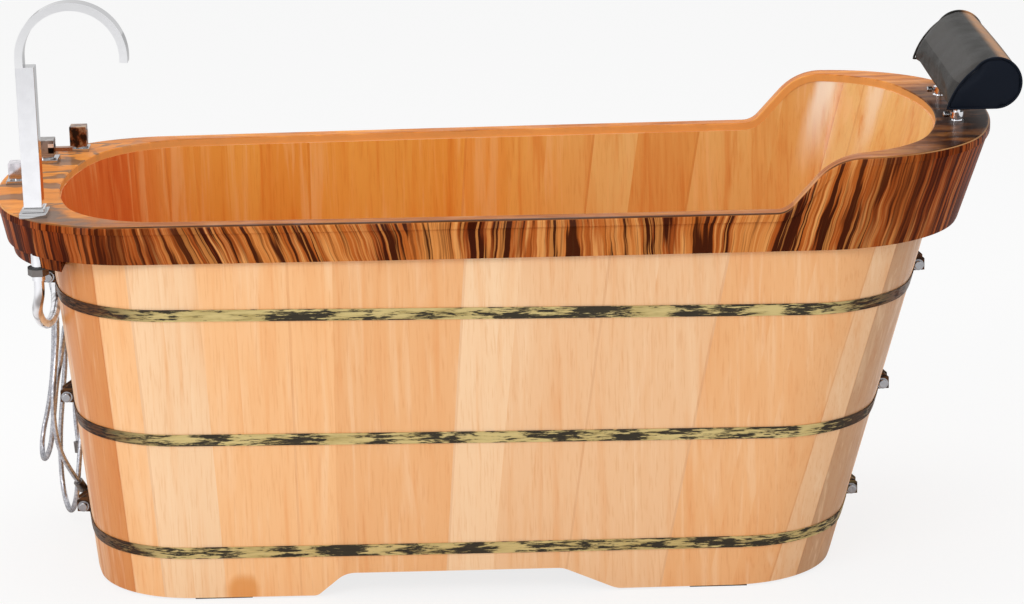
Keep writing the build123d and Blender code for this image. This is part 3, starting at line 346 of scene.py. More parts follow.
def stave_wood():
    """Pale varnished boards outside, deeper orange ones inside."""
    wood = Finish("stave_wood", coat_roughness=0.14, specular=0.2)
    x, y, z = wood.split(wood.place())
    inside = wood.outward(x, y) < 0.0
    share, turn = board_place(x, y, z, inside)
    at_foot = share < 0.0
    at_head = share > 1.0
    at_end = at_foot + at_head
    near = y < 0.0
    near_outside = near * (1.0 - inside)
    chance = wood.mix(
        at_end,
        wood.steps(share, side_edges, board_chances(side_edges, 11)),
        wood.steps(turn, end_edges, board_chances(end_edges, 29)),
    )
    first = wood.dice(chance * 90 + near * 7 + at_head * 3)
    second = wood.dice(chance * 70 + near * 5 + at_head * 11 + 0.5)
    drawn = wood.mix(
        at_head, wood.steps(share, side_edges, side_tones), wood.steps(turn, end_edges, head_tones)
    )
    drawn = wood.mix(at_foot, drawn, wood.steps(turn, end_edges, foot_tones))
    tone = wood.mix(near_outside, wood.ramp(first, chance_tones), drawn)
    tint = wood.ramp(wood.between_straight(x, -inside_half_length, inside_half_length), inside_tints)
    tone = wood.tinted(inside, tone, tint)
    wavy = wood.join(x * 13 + second * 9, y * 13, z * 1.3 + first * 7)
    flame = wood.noise(wavy, detail=3.0, roughness=0.55, distortion=1.6)
    streak = wood.noise(wood.join(x * 62 + second * 3, y * 62, z), detail=3.0, roughness=0.6, distortion=0.4)
    grain = wood.noise(wood.join(x * 380, y * 380, z * 13), roughness=0.6)
    tone = stave_figure(wood, tone, inside, flame, streak, grain)
    # Painted highlight: two pale streaks of sheen painted into the colour, inside the head end on the far
    # side
    from_sheen = x - (z * sheen_lean + sheen_x) + (streak - 0.5) * 0.02
    sheen = wood.between(abs(from_sheen), sheen_half_width, 0.004) * wood.between(z, 0.50, 0.66)
    from_second = turn - second_sheen_turn + (streak - 0.5) * 0.1
    second_sheen = wood.between(abs(from_second), second_sheen_half_width, 0.01) * at_head
    second_sheen = second_sheen * wood.between(z, 0.52, 0.66) * 0.5
    tone = wood.mix((sheen + second_sheen) * inside * (y > 0.0) * 0.8, tone, painted_sheen_tone)
    spots = wood.join(x * 2.3 + 0.4, y * 2.3, z * 1.7 + 0.2)
    knots = wood.add("ShaderNodeTexVoronoi", {}, Vector=spots, Scale=1.0)
    tone = wood.mix(wood.between(knots, 0.06, 0.02) * 0.4, tone, knot_tone)
    across = (x - patch_x + (flame - 0.5) * 0.05) / patch_radius
    above = (z - patch_height) / patch_radius
    patch = wood.between(across * across + above * above, 1.3, 0.2) * near_outside
    tone = wood.mix(patch * 0.8, tone, patch_tone)
    seam = wood.mix(
        at_end,
        seam_lines(wood, share, side_edges, side_seam_width),
        seam_lines(wood, turn, end_edges, end_seam_width),
    )
    tone = wood.tinted(seam * 0.3, tone, seam_shade)
    wood.set("Base Color", tone)
    wood.set("Roughness", wood.between(streak, 0.2, 0.8, 0.3, 0.44))
    wood.set("Coat Weight", inside * 0.5 + 0.06)
    wood.bump(grain * 0.4 - seam, 0.25, 0.0005)
    return wood.material


# Rim: the straight run of its middle line, and how its ends are unrolled
rim_straight = (-0.53, 0.47)
rim_end_reach = 0.32
far_side_shift = 2.3
rim_half_length = 0.8
rim_middle_x = 0.03
figure_height = 0.57
figure_lean = 2.2

# How far the figure leans along the rim: over a half toward the foot, under a half toward the head
leans = (
    (0.0, 0.5),
    (0.13, 0.5),
    (0.2, 0.72),
    (0.36, 0.66),
    (0.5, 0.42),
    (0.62, 0.56),
    (0.75, 0.34),
    (0.9, 0.40),
    (1.0, 0.44),
)
figure_tones = (
    (0.30, (0.60, 0.22, 0.052)),
    (0.42, (0.48, 0.13, 0.022)),
    (0.54, (0.37, 0.080, 0.012)),
    (0.68, (0.22, 0.036, 0.006)),
)
band_light = (0.74, 0.33, 0.10)
fine_light = (0.84, 0.40, 0.13)
band_dark = (0.030, 0.004, 0.001)
split_light = (0.62, 0.23, 0.055)
close_dark = (0.040, 0.006, 0.002)
fine_dark = (0.06, 0.011, 0.003)
end_shade = (0.55, 0.30, 0.26)

# Coping's colours
coping_tones = ((0.3, (0.86, 0.36, 0.080)), (0.5, (0.64, 0.21, 0.040)), (0.7, (0.34, 0.095, 0.020)))
foot_deck_tone = (0.80, 0.30, 0.060)
foot_deck_cloud = (0.15, 0.095, 0.060)
near_tone = (0.22, 0.070, 0.024)
near_cloud = (0.17, 0.12, 0.09)
# Near black: a painted reflection of the dark cushion in the head deck's gloss
head_deck_painted_reflection = (0.018, 0.004, 0.002)
coping_grain = (0.12, 0.035, 0.012)
inner_tone = (0.84, 0.40, 0.12)
# lip_tone is a painted highlight on the coping's rounded outer edge; near_lip_tone is that edge's darker
# colour on the near side
lip_tone = (0.66, 0.34, 0.14)
near_lip_tone = (0.085, 0.034, 0.014)
outline_tone = (0.060, 0.026, 0.014)

# The near coping's outer edge: its Y in the middle, and how much it changes along the tub
near_edge_y, near_edge_lean = -0.3262, -0.015


def around(wood, x, y):
    """How far along the rim a point is: straight along the sides, by angle round the ends."""
    middle = wood.clamp(x, *rim_straight)
    return wood.math("ARCTAN2", x - middle, abs(y)) * rim_end_reach + middle


def figured(wood, x, y, z):
    """Wild dark figure on orange-brown wood, leaning one way at the foot and the other at the head."""
    along = around(wood, x, y) + (y > 0.0) * far_side_shift
    lean = wood.ramp(wood.between_straight(x, -rim_half_length, rim_half_length), leans)
    sway = wood.noise(wood.join(along * 9, z * 16, 0.0))
    slid = along + (lean - 0.5) * (z - figure_height) * figure_lean + (sway - 0.5) * 0.012
    broad = wood.noise(wood.join(slid * 15, z * 1.6, 4.0), detail=1.0)
    bands = wood.noise(wood.join(slid * 62, z * 3.2, 9.0), roughness=0.62)
    fine = wood.noise(wood.join(slid * 300, z * 6, 2.0), roughness=0.6)
    close = wood.noise(wood.join(slid * 130, z * 3, 6.0), roughness=0.6)
    ends = wood.between(abs(x - rim_middle_x), 0.44, 0.68)
    tone = wood.ramp(broad, figure_tones)
    tone = wood.mix(wood.between(bands, 0.46, 0.35) * 0.8, tone, band_light)
    tone = wood.mix(wood.between(fine, 0.46, 0.34) * 0.25, tone, fine_light)
    dark = wood.between(bands + (broad - 0.5) * 0.4, 0.500, 0.560)
    tone = wood.mix(dark * (0.94 - ends * 0.45), tone, band_dark)
    tone = wood.mix((1.0 - ends) * wood.between(close, 0.45, 0.39) * 0.75, tone, split_light)
    tone = wood.mix(ends * wood.between(close, 0.46, 0.56) * 0.86, tone, close_dark)
    tone = wood.mix(wood.between(fine, 0.50, 0.66) * 0.5, tone, fine_dark)
    tone = wood.tinted(ends * 0.7, tone, end_shade)
    return tone, fine


def striped_wood():
    """The rim's band of wild dark figure."""
    wood = Finish("striped_wood", roughness=0.45, specular=0.03)
    tone, fine = figured(wood, *wood.split(wood.place()))
    wood.set("Base Color", tone)
    wood.bump(fine, 0.12, 0.0004)
    return wood.material


def lacquered_wood():
    """The coping: orange-brown under gloss, near black at the head end by a painted reflection of the
    cushion, striped on its outer edge, with a painted highlight along its rounded outer edge.
    """
    wood = Finish("lacquered_wood", roughness=0.3, coat_roughness=0.06, specular=0.015)
    x, y, z = wood.split(wood.place())
    along = around(wood, x, y)
    streak = wood.noise(wood.join(along * 7, y * 50, z * 7), detail=4.0, roughness=0.6, distortion=0.6)
    grain = wood.noise(wood.join(along * 60, y * 420, z * 60), roughness=0.6)
    clouds = wood.noise(wood.join(x * 18 + 2, y * 26, 0.0), distortion=0.4)
    foot = wood.between(x, -0.56, -0.66)
    near = wood.between(y, -0.20, -0.29)
    near_foot = foot * wood.between(y, -0.13, -0.22)
    head = wood.between(x, 0.54, 0.68) * wood.between(y, 0.26, 0.08)
    tone = wood.ramp(streak, coping_tones)
    tone = wood.mix(foot * 0.5, tone, foot_deck_tone)
    tone = wood.mix(foot * wood.between(clouds, 0.50, 0.56) * 0.75, tone, foot_deck_cloud)
    tone = wood.mix(near * 0.5, tone, near_tone)
    tone = wood.mix(near_foot * wood.between(clouds, 0.40, 0.50) * 0.7, tone, near_cloud)
    # Painted reflection of the cushion: the head deck goes near black toward its near side
    tone = wood.mix(head * wood.between(clouds, 0.66, 0.44, 0.7, 0.98), tone, head_deck_painted_reflection)
    tone = wood.mix(wood.between(grain, 0.5, 0.72) * 0.3, tone, coping_grain)
    rise = wood.normal()[2]
    out = wood.outward(x, y) > 0.0
    upright = wood.between(rise, 0.75, 0.55)
    tone = wood.mix(upright * (1.0 - out) * 0.8, tone, inner_tone)
    figure, _ = figured(wood, x, y, z)
    tone = wood.mix(upright * out, tone, figure)
    # Painted highlight along the rounded outer edge, darker on the near side
    lip = wood.between(abs(rise - 0.80), 0.16, 0.08) * out
    tone = wood.mix(lip * 0.6, tone, wood.mix(near * (1.0 - head), lip_tone, near_lip_tone))
    from_edge = y - (x * near_edge_lean + near_edge_y)
    edge = wood.between(from_edge, 0.010, 0.006) * wood.between(abs(x + 0.05), 0.60, 0.52)
    tone = wood.mix(edge * (rise > 0.75) * 0.9, tone, outline_tone)
    wood.set("Base Color", tone)
    wood.set("Coat Weight", wood.between(clouds, 0.46, 0.62, 0.0, 0.14) * (1.0 - head * 0.7))
    return wood.material


# Floor's colours, by board
floor_tones = ((0.0, (0.70, 0.33, 0.12)), (0.5, (0.78, 0.40, 0.16)), (1.0, (0.62, 0.26, 0.09)))
floor_flame = (0.50, 0.20, 0.07)
floor_grain = (0.40, 0.17, 0.07)
floor_seam = (0.18, 0.07, 0.03)


def floor_wood():
    """The tub's floor and its bearers."""
    wood = Finish("floor_wood", roughness=0.4, coat_roughness=0.15)
    x, y, z = wood.split(wood.place())
    boards = y * (floor_board_count / floor_width)
    chance = wood.dice(boards.floor() + 3)
    wavy = wood.join(x * 1.6 + chance * 5, y * 18, z * 10)
    flame = wood.noise(wavy, detail=3.0, roughness=0.55, distortion=1.0)
    grain = wood.noise(wood.join(x * 14, y * 400, z * 200), roughness=0.6)
    tone = wood.ramp(chance, floor_tones)
    tone = wood.mix(wood.between(flame, 0.45, 0.7) * 0.5, tone, floor_flame)
    tone = wood.mix(wood.between(grain, 0.5, 0.7) * 0.2, tone, floor_grain)
    seam = abs(boards.part() - 0.5) > 0.488
    tone = wood.mix(seam * 0.6, tone, floor_seam)
    wood.set("Base Color", tone)
    wood.set("Coat Weight", 0.2)
    wood.bump(grain * 0.4 - seam, 0.25, 0.0006)
    return wood.material


# Metals, rubber, paint and leather
brass_tones = ((0.63, 0.50, 0.22), (0.42, 0.32, 0.12))
worn_tone = (0.020, 0.018, 0.018)
brown_tones = ((0.11, 0.038, 0.012), (0.016, 0.010, 0.008))
hoop_middle_x = -0.02
braid_tones = ((0.60, 0.60, 0.63), (0.36, 0.36, 0.40))
rubber_tones = ((0.02, 0.02, 0.02), (0.04, 0.04, 0.04))
leather_tones = ((0.042, 0.040, 0.038), (0.062, 0.059, 0.056))
# Painted shade over the cushion's upper front
leather_top_painted_shade = (0.018, 0.017, 0.015)
# A warm painted highlight along the cushion's upper back
leather_painted_highlight = (0.52, 0.27, 0.13)
cap_tone = (0.0042, 0.0068, 0.0135)
cap_depth = 0.006
chrome_tones = ((0.91, 0.91, 0.94), (0.76, 0.76, 0.79))
# The hand shower's head: brown, a painted reflection of the wood round it
shower_painted_reflection_tones = ((0.4, (0.04, 0.022, 0.014)), (0.5, (0.22, 0.085, 0.035)), (0.6, (0.40, 0.26, 0.15)))
mixer_tones = ((0.24, 0.22, 0.21), (0.36, 0.34, 0.33))
window_dark = (0.006, 0.006, 0.006)
# A painted highlight line on the mixer's front
window_painted_highlight = (0.95, 0.95, 0.95)
diverter_tones = ((0.34, 0.30, 0.33), (0.66, 0.60, 0.64))
layer_tones = ((0.50, 0.50, 0.50), (0.14, 0.13, 0.13))
# Dark painted reflections on the link pipe
pipe_painted_reflection = (0.16, 0.13, 0.12)
# Painted reflections on the spout: darker edges, near white side faces
spout_painted_dark_edge = (0.24, 0.24, 0.25)
spout_painted_bright_face = (0.98, 0.98, 1.0)
tap_half_width = 0.016
diverter_half_width = 0.02
plate_bottom = 0.5985
dark_pane, dark_pane_half = 0.6215, 0.0045
# Height of a painted highlight line on the mixer's front
light_pane, light_pane_half = 0.6295, 0.003
pipe_top = 0.555
column_bottom = 0.70


def aged_brass():
    """Brass hoops, worn in patches to black."""
    metal = Finish("aged_brass", specular=0.15)
    x, y, z = metal.split(metal.place())
    patches = metal.noise(metal.join(x * 14, y * 14, z * 12))
    fine = metal.join(x * 55, y * 55, z * 420)
    scratches = metal.noise(fine, detail=4.0, roughness=0.72, distortion=0.3)
    streaks = metal.noise(metal.join(x * 18, y * 18, z * 160), detail=3.0, roughness=0.65)
    worn = metal.between(patches + (scratches - 0.5) * 0.9 + (streaks - 0.5), 0.43, 0.57)
    tone = metal.mix(worn * 0.95, metal.mix(metal.between(streaks, 0.35, 0.7), *brass_tones), worn_tone)
    ends = metal.between(abs(x - hoop_middle_x), 0.48, 0.62)
    brown = metal.mix(metal.between(scratches, 0.42, 0.60), *brown_tones)
    metal.set("Base Color", metal.mix(ends * 0.97, tone, brown))
    metal.set("Metallic", 0.75 - (worn + ends) * 0.3)
    metal.set("Roughness", worn * 0.25 + 0.36)
    metal.bump(scratches, 0.2, 0.0004)
    return metal.material


def plain_metal(name, color, roughness, smear=0.08):
    """A plain metal with faint wiping marks."""
    metal = Finish(name, metallic=1.0)
    marks = metal.between(metal.noise(metal.place(), 60.0, 3.0, 0.6), 0.3, 0.7)
    metal.set("Base Color", metal.mix(marks * 0.3, color, tuple(part * 0.8 for part in color)))
    metal.set("Roughness", marks * smear + roughness)
    return metal.material


def hose_metal():
    """Silver braid on the hoses."""
    metal = Finish("hose_steel", roughness=0.28, metallic=1.0)
    marks = metal.noise(metal.place(), 240.0, roughness=0.6)
    metal.set("Base Color", metal.mix(metal.between(marks, 0.35, 0.65), *braid_tones))
    metal.bump(marks, 0.3, 0.0004)
    return metal.material


def rubber():
    """Matt black rubber."""
    black = Finish("rubber", roughness=0.75)
    marks = black.noise(black.place(), 300.0)
    black.set("Base Color", black.mix(marks, *rubber_tones))
    black.bump(marks, 0.3, 0.0005)
    return black.material


def painted(name, color, roughness):
    """Dull paint, a little uneven."""
    paint = Finish(name, roughness=roughness)
    marks = paint.noise(paint.place(), 180.0, 3.0)
    paint.set("Base Color", paint.mix(marks, color, tuple(part * 0.7 for part in color)))
    paint.bump(marks, 0.15, 0.0003)
    return paint.material


def leather():
    """Dark leather: grey over the body, blue-black on the end caps, with painted shade over the upper front
    and a warm painted highlight along the upper back.
    """
    hide = Finish("leather", specular=0.09)
    place = hide.place()
    x, y, z = hide.split(place)
    cells = hide.add("ShaderNodeTexVoronoi", {"feature": "DISTANCE_TO_EDGE"}, Vector=place, Scale=900.0)
    soft = hide.noise(place, 26.0, 3.0)
    pores = hide.noise(place, 1500.0)
    body = hide.mix(hide.between(soft, 0.3, 0.7), *leather_tones)
    rise = z - (cushion_base_height + cushion_round)
    turn = hide.math("ARCTAN2", rise, x - (cushion_back_x - cushion_round))
    # Painted shade: darker over the cushion's upper front
    body = hide.mix(hide.between(turn, 2.55, 1.9) * 0.8, body, leather_top_painted_shade)
    # Painted highlight: a warm strip along the cushion's upper back
    glow = hide.between(abs(turn - 1.12), 0.46, 0.06) * hide.between(soft, 0.2, 0.6, 0.6, 1.0)
    body = hide.mix(glow * 0.8, body, leather_painted_highlight)
    cap_y = cushion_half_length - cap_depth
    cap = (y < -cap_y) + (y > cap_y) * (hide.normal()[1] > 0.7)
    hide.set("Base Color", hide.mix(cap, body, cap_tone))
    hide.set("Roughness", hide.between(soft, 0.3, 0.7, 0.44, 0.56))
    hide.bump(hide.between(cells, 0.0, 0.12) + pores * 0.3, 0.35, 0.0003)
    return hide.material


def chrome():
    """Polished metal, the mixer grey as in the photograph; painted reflections make the hand shower's head
    brown, darken patches of the link pipe and the spout's edges and whiten the spout's side faces, and a
    painted highlight line crosses the mixer's front.
    """
    metal = Finish("chrome", metallic=1.0)
    place = metal.place()
    x, y, z = metal.split(place)
    above = z > deck_top
    wipes = metal.noise(place, 60.0, 3.0, 0.6)
    clouds = metal.noise(metal.join(x * 90, y * 90, z * 60), detail=3.0, roughness=0.6)
    cloudy = metal.between(clouds, 0.4, 0.6)
    shower = (abs(y - handset_side / 1000) < tap_half_width) * above
    mixer = (abs(y - mixer_side / 1000) < tap_half_width) * above
    window = mixer * (x > foot_x + (mixer_in + 6) / 1000)
    diverter = (abs(y) < diverter_half_width) * above
    plate = (z < spout_base_top) * (z > plate_bottom)
    tone = metal.mix(metal.between(wipes, 0.3, 0.7) * 0.3, *chrome_tones)
    # Painted reflection: the hand shower's head brown from the wood round it
    tone = metal.mix(shower, tone, metal.ramp(clouds, shower_painted_reflection_tones))
    tone = metal.mix(mixer, tone, metal.mix(cloudy, *mixer_tones))
    tone = metal.mix(window * (abs(z - dark_pane) < dark_pane_half), tone, window_dark)
    # Painted highlight: a bright line on the mixer's front, above the dark square
    tone = metal.mix(window * (abs(z - light_pane) < light_pane_half), tone, window_painted_highlight)
    tone = metal.mix(diverter * 0.7, tone, metal.mix(cloudy, *diverter_tones))
    layers = metal.mix((z * 420).part() > 0.6, *layer_tones)
    tone = metal.mix(plate * (1.0 - shower) * 0.75, tone, layers)
    patches = metal.noise(metal.join(x * 50, y * 50, z * 14), detail=1.0)
    # Painted reflection: dark patches on the pipes below the deck
    tone = metal.mix((z < pipe_top) * metal.between(patches, 0.47, 0.66) * 0.7, tone, pipe_painted_reflection)
    # Painted reflections: the gooseneck's side faces near white, its edges and the column's face toward the
    # head end darker
    facing = metal.normal()
    neck = z > column_top
    side = abs(facing[1])
    edge = neck * (side < 0.6) + (z > column_bottom) * (1.0 - neck) * (facing[0] > 0.6)
    tone = metal.mix(edge * 0.8, tone, spout_painted_dark_edge)
    tone = metal.mix(neck * (side > 0.6), tone, spout_painted_bright_face)
    metal.set("Base Color", tone)
    metal.set("Roughness", metal.between(wipes, 0.3, 0.7, 0.07, 0.11) + (shower + mixer) * 0.2)
    return metal.material


materials = {
    "stave_wood": stave_wood(),
    "floor_wood": floor_wood(),
    "striped_wood": striped_wood(),
    "lacquered_wood": lacquered_wood(),
    "aged_brass": aged_brass(),
    "brass": plain_metal("brass", (0.70, 0.52, 0.24), 0.3),
    "steel": plain_metal("steel", (0.40, 0.40, 0.42), 0.22),
    "rubber": rubber(),
    "dark_metal": plain_metal("dark_metal", (0.20, 0.18, 0.17), 0.35),
    "hose_steel": hose_metal(),
    "leather": leather(),
    "painted_steel": painted("painted_steel", (0.03, 0.03, 0.03), 0.5),
    "chrome": chrome(),
    "bronze": plain_metal("bronze", (0.34, 0.17, 0.09), 0.25),
}
slots = {entry["node"]: entry["material_slot"] for entry in frame["record"]["subparts"]}
for name, node in nodes.items():
    node.data.materials.clear()
    node.data.materials.append(materials[slots[name]])


# Hoses: the routes' points, from the foot end of the rim, in millimetres
def port(along, aside):
    """A port of the mixer's inlet block."""
    return mixer_in + along, mixer_side + aside


hot_route = (
    (*port(-15, 1), inlet_bottom),
    (*port(-15, 1), 454),
    (53, 124, 415),
    (64, 95, 375),
    (68, 62, 334),
    (65, 30, 290),
    (61, 12, 241),
    (61, 8, 194),
    (67, 13, 152),
    (79, 22, 118),
    (91, 32, 93),
)
cold_route = (
    (*port(15, 1), inlet_bottom),
    (*port(15, 1), 444),
    (80, 144, 393),
    (88, 139, 336),
    (86, 132, 277),
    (82, 126, 220),
    (81, 120, 172),
    (84, 117, 134),
)
shower_route = (
    (handset_in, handset_side, handset_stem_bottom),
    (handset_in, handset_side, 436),
    (101, 196, 363),
    (102, 150, 298),
    (99, 106, 225),
    (95, 70, 156),
    (89, 52, 96),
    (84, 52, 56),
    (71, 84, 22),
    (57, 127, 21),
    (47, 159, 54),
    (48, 162, 130),
    (58, 163, 209),
    (64, 163, 252),
    (66, 162, 296),
    (72, 131, 330),
    (76, 85, 330),
    (73, 53, 298),
    (64, 49, 260),
    (56, 50, 203),
    (49, 52, 152),
    (34, 82, 115),
    (22, 126, 106),
    (19, 161, 132),
    (33, 166, 184),
    (44, 164, 249),
    (49, 162, 310),
    (52, 160, 366),
    (54, 159, 414),
    (*port(0, 14), 456),
    (*port(0, 14), inlet_bottom),
)
ridge_pitch = 0.0032
ridge_depth = 0.0006
hose_sides = 14


def hose_path(name, route):
    """The smooth line of a hose, as close points along its spline."""
    curve = bpy.data.curves.new(name, "CURVE")
    curve.dimensions = "3D"
    spline = curve.splines.new("NURBS")
    spline.points.add(len(route) - 1)
    for point, (x, y, z) in zip(spline.points, route):
        point.co = (foot_x + x / 1000, y / 1000, z / 1000, 1)
    spline.order_u = 3
    spline.use_endpoint_u = True
    spline.resolution_u = 24
    line = bpy.data.objects.new(name, curve)
    mesh = bpy.data.meshes.new_from_object(line)
    points = [vertex.co.copy() for vertex in mesh.vertices]
    bpy.data.objects.remove(line)
    return points


def even_steps(points, step):
    """Points at even steps along a path, and the path's length."""
    travel = [0.0]
    for before, here in zip(points, points[1:]):
        travel.append(travel[-1] + (here - before).length)
    total = travel[-1]
    count = round(total / step)
    stepped = []
    place = 0
    for index in range(count + 1):
        goal = total * index / count
        while place < len(points) - 2 and travel[place + 1] < goal:
            place += 1
        run = travel[place + 1] - travel[place]
        share = (goal - travel[place]) / run if run else 0.0
        stepped.append(points[place].lerp(points[place + 1], share))
    return stepped, total


def close_rings(shape, rings):
    """Faces between neighbouring rings of corners."""
    for before, after in zip(rings, rings[1:]):
        for turn in range(len(before)):
            following = (turn + 1) % len(before)
            shape.faces.new((before[turn], before[following], after[following], after[turn]))


def new_piece(name, shape):
    """An object in the scene from a finished shape."""
    mesh = bpy.data.meshes.new(name)
    shape.to_mesh(mesh)
    shape.free()
    piece = bpy.data.objects.new(name, mesh)
    scene.collection.objects.link(piece)
    return piece


def ridged_tube(name, points, radius):
    """A closed tube along points, with a ridge at every second one."""
    shape = bmesh.new()
    rings = []
    side = None
    for index, point in enumerate(points):
        before = points[max(index - 1, 0)]
        after = points[min(index + 1, len(points) - 1)]
        ahead = (after - before).normalized()
        if side is None:
            side = ahead.orthogonal().normalized()
        side = (side - ahead * side.dot(ahead)).normalized()
        other = ahead.cross(side)
        width = radius - ridge_depth * (index % 2)
        ring = []
        for turn in range(hose_sides):
            angle = math.tau * turn / hose_sides
            ring.append(shape.verts.new(point + (side * math.cos(angle) + other * math.sin(angle)) * width))
        rings.append(ring)
    close_rings(shape, rings)
    shape.faces.new(list(reversed(rings[0])))
    shape.faces.new(rings[-1])
    tube = new_piece(name, shape)
    for face in tube.data.polygons:
        face.use_smooth = len(face.vertices) == 4
    return tube


def hose(name, node, route):
    """One free hose that stands for its CAD node."""
    points, length = even_steps(hose_path(name, route), ridge_pitch / 2)
    tube = ridged_tube(name, points, hose_radius)
    tube.data.materials.append(materials["hose_steel"])
    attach(tube, "tub")
    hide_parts(node)


hose("braided_shower_hose", "shower_hose", shower_route)
hose("braided_hot_hose", "hot_hose", hot_route)
hose("braided_cold_hose", "cold_hose", cold_route)


# Headrest cushion
cushion_centre = (cushion_back_x - cushion_round, cushion_base_height + cushion_round)
cushion_tip = (cushion_centre[0] - cushion_nose, cushion_base_height)
base_steps = 60
round_steps = 120
top_steps = 80
top_bulge = 0.006
outline_step = 0.0025

# Rings of the cushion's body: their corners, their number, and how far they stand inside the side view
body_sides = 56
body_spaces = 24
end_shrink = 0.0022
side_shrink = 0.0012
crown = 0.0008
end_dome = 0.0025

# Piping round the end caps
piping_radius = 0.0018
piping_points = 120


def round_point(radius, angle):
    """A point on the cushion's round back."""
    return cushion_centre[0] + radius * math.cos(angle), cushion_centre[1] + radius * math.sin(angle)


def cushion_outline(grow):
    """Side view of the cushion, grown all round, as points from the tip along the base."""
    radius = cushion_round + grow
    tip = (cushion_tip[0] - grow, cushion_tip[1] - grow)
    away = math.dist(tip, cushion_centre)
    toward = math.atan2(tip[1] - cushion_centre[1], tip[0] - cushion_centre[0])
    touch = toward - math.acos(min(1.0, radius / away)) + math.tau
    dense = []
    for step in range(base_steps):
        share = step / base_steps
        dense.append((tip[0] + (cushion_centre[0] - tip[0]) * share, tip[1]))
    for step in range(round_steps):
        dense.append(round_point(radius, -math.pi / 2 + (touch + math.pi / 2) * step / round_steps))
    top = round_point(radius, touch)
    slant = math.dist(top, tip)
    normal = ((tip[1] - top[1]) / slant, (top[0] - tip[0]) / slant)
    for step in range(top_steps):
        share = step / top_steps
        bulge = top_bulge * 4 * share * (1 - share)
        x = top[0] + (tip[0] - top[0]) * share + normal[0] * bulge
        z = top[1] + (tip[1] - top[1]) * share + normal[1] * bulge
        dense.append((x, z))
    dense.append(dense[0])
    points, _ = even_steps([Vector((x, 0, z)) for x, z in dense], outline_step)
    return points


def cushion_loop(grow, count, y):
    """One closed loop of the cushion's side view at a place along it."""
    outline = cushion_outline(grow)
    picked = [outline[round(index * (len(outline) - 1) / count)] for index in range(count)]
    return [Vector((point.x, y, point.z)) for point in picked]


def cushion_body():
    """The stuffed body: crowned along its length, its end faces a little domed."""
    shape = bmesh.new()
    inner = cushion_half_length - end_dome
    stations = [(-cushion_half_length, -end_shrink)]
    for step in range(body_spaces + 1):
        share = step / body_spaces
        stations.append((-inner + 2 * inner * share, -side_shrink + crown * math.sin(math.pi * share)))
    stations.append((cushion_half_length, -end_shrink))
    rings = []
    for y, grow in stations:
        rings.append([shape.verts.new(point) for point in cushion_loop(grow, body_sides, y)])
    close_rings(shape, rings)
    shape.faces.new(rings[0])
    shape.faces.new(list(reversed(rings[-1])))
    bmesh.ops.recalc_face_normals(shape, faces=shape.faces)
    return new_piece("leather_cushion", shape)


def only(piece):
    """Select one piece and nothing else."""
    bpy.ops.object.select_all(action="DESELECT")
    piece.select_set(True)
    bpy.context.view_layer.objects.active = piece


def plump(piece, voxel, frames, pressure, stiffness, cap):
    """Swell a padded piece by a short cloth simulation, no point further than cap."""
    only(piece)
    remesh = piece.modifiers.new("even", "REMESH")
    remesh.mode = "VOXEL"
    remesh.voxel_size = voxel
    bpy.ops.object.modifier_apply(modifier=remesh.name)
    start = [vertex.co.copy() for vertex in piece.data.vertices]
    cloth = piece.modifiers.new("stuffing", "CLOTH")
    cloth.settings.quality = 5
    cloth.settings.use_pressure = True
    cloth.settings.uniform_pressure_force = pressure
    cloth.settings.effector_weights.gravity = 0
    cloth.settings.tension_stiffness = stiffness
    cloth.settings.compression_stiffness = stiffness
    cloth.point_cache.frame_end = frames
    for step in range(1, frames + 1):
        scene.frame_set(step)
    swollen = piece.evaluated_get(bpy.context.evaluated_depsgraph_get()).data
    moved = [vertex.co.copy() for vertex in swollen.vertices]
    piece.modifiers.remove(cloth)
    scene.frame_set(1)
    for vertex, old, new in zip(piece.data.vertices, start, moved):
        shift = new - old
        if shift.length > cap:
            shift = shift.normalized() * cap
        vertex.co = old + shift
    piece.data.update()


def cushion_piping(label, sign):
    """Piping round one end cap."""
    loop = cushion_loop(-piping_radius, piping_points, sign * (cushion_half_length - piping_radius))
    name = f"cushion_piping_{label}"
    curve = bpy.data.curves.new(name, "CURVE")
    curve.dimensions = "3D"
    spline = curve.splines.new("POLY")
    spline.points.add(len(loop) - 1)
    for point, place in zip(spline.points, loop):
        point.co = (*place, 1)
    spline.use_cyclic_u = True
    curve.bevel_depth = piping_radius
    curve.bevel_resolution = 3
    piping = bpy.data.objects.new(name, curve)
    scene.collection.objects.link(piping)
    only(piping)
    bpy.ops.object.convert(target="MESH")
    bpy.ops.object.shade_smooth()
    piping.data.materials.append(materials["leather"])
    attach(piping, "headrest")


cushion = cushion_body()
plump(cushion, voxel=0.0045, frames=20, pressure=3.0, stiffness=25, cap=0.004)
only(cushion)
smooth = cushion.modifiers.new("soft", "SUBSURF")
smooth.levels = 1
smooth.render_levels = 1
bpy.ops.object.modifier_apply(modifier=smooth.name)
bpy.ops.object.shade_smooth()
cushion.data.materials.clear()
cushion.data.materials.append(materials["leather"])
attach(cushion, "headrest")
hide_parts("headrest_cushion")
cushion_piping("near", -1)
cushion_piping("far", 1)


# Floor, light and camera
floor_size = 40
floor_glow = 0.8
white = (1.0, 1.0, 1.0, 1.0)
light_strength = 0.72
seen_strength = 1.0


def studio_floor():
    """A pale floor that keeps the tub's shadow."""
    bpy.ops.object.select_all(action="DESELECT")
    bpy.ops.mesh.primitive_plane_add(size=floor_size)
    floor = bpy.context.active_object
    floor.name = "studio_floor"
    pale = Finish("studio_floor", roughness=0.9, specular=0.1)
    pale.set("Base Color", (0.86, 0.86, 0.86))
    glow = pale.add("ShaderNodeEmission", {}, white, 1.0)
    seen = pale.add("ShaderNodeLightPath", {})
    lit = Wire(pale, pale.shader.outputs[0])
    mixed = pale.add("ShaderNodeMixShader", {}, seen * floor_glow, lit, glow)
    pale.tree.links.new(mixed.socket, pale.tree.nodes["Material Output"].inputs[0])
    floor.data.materials.append(pale.material)


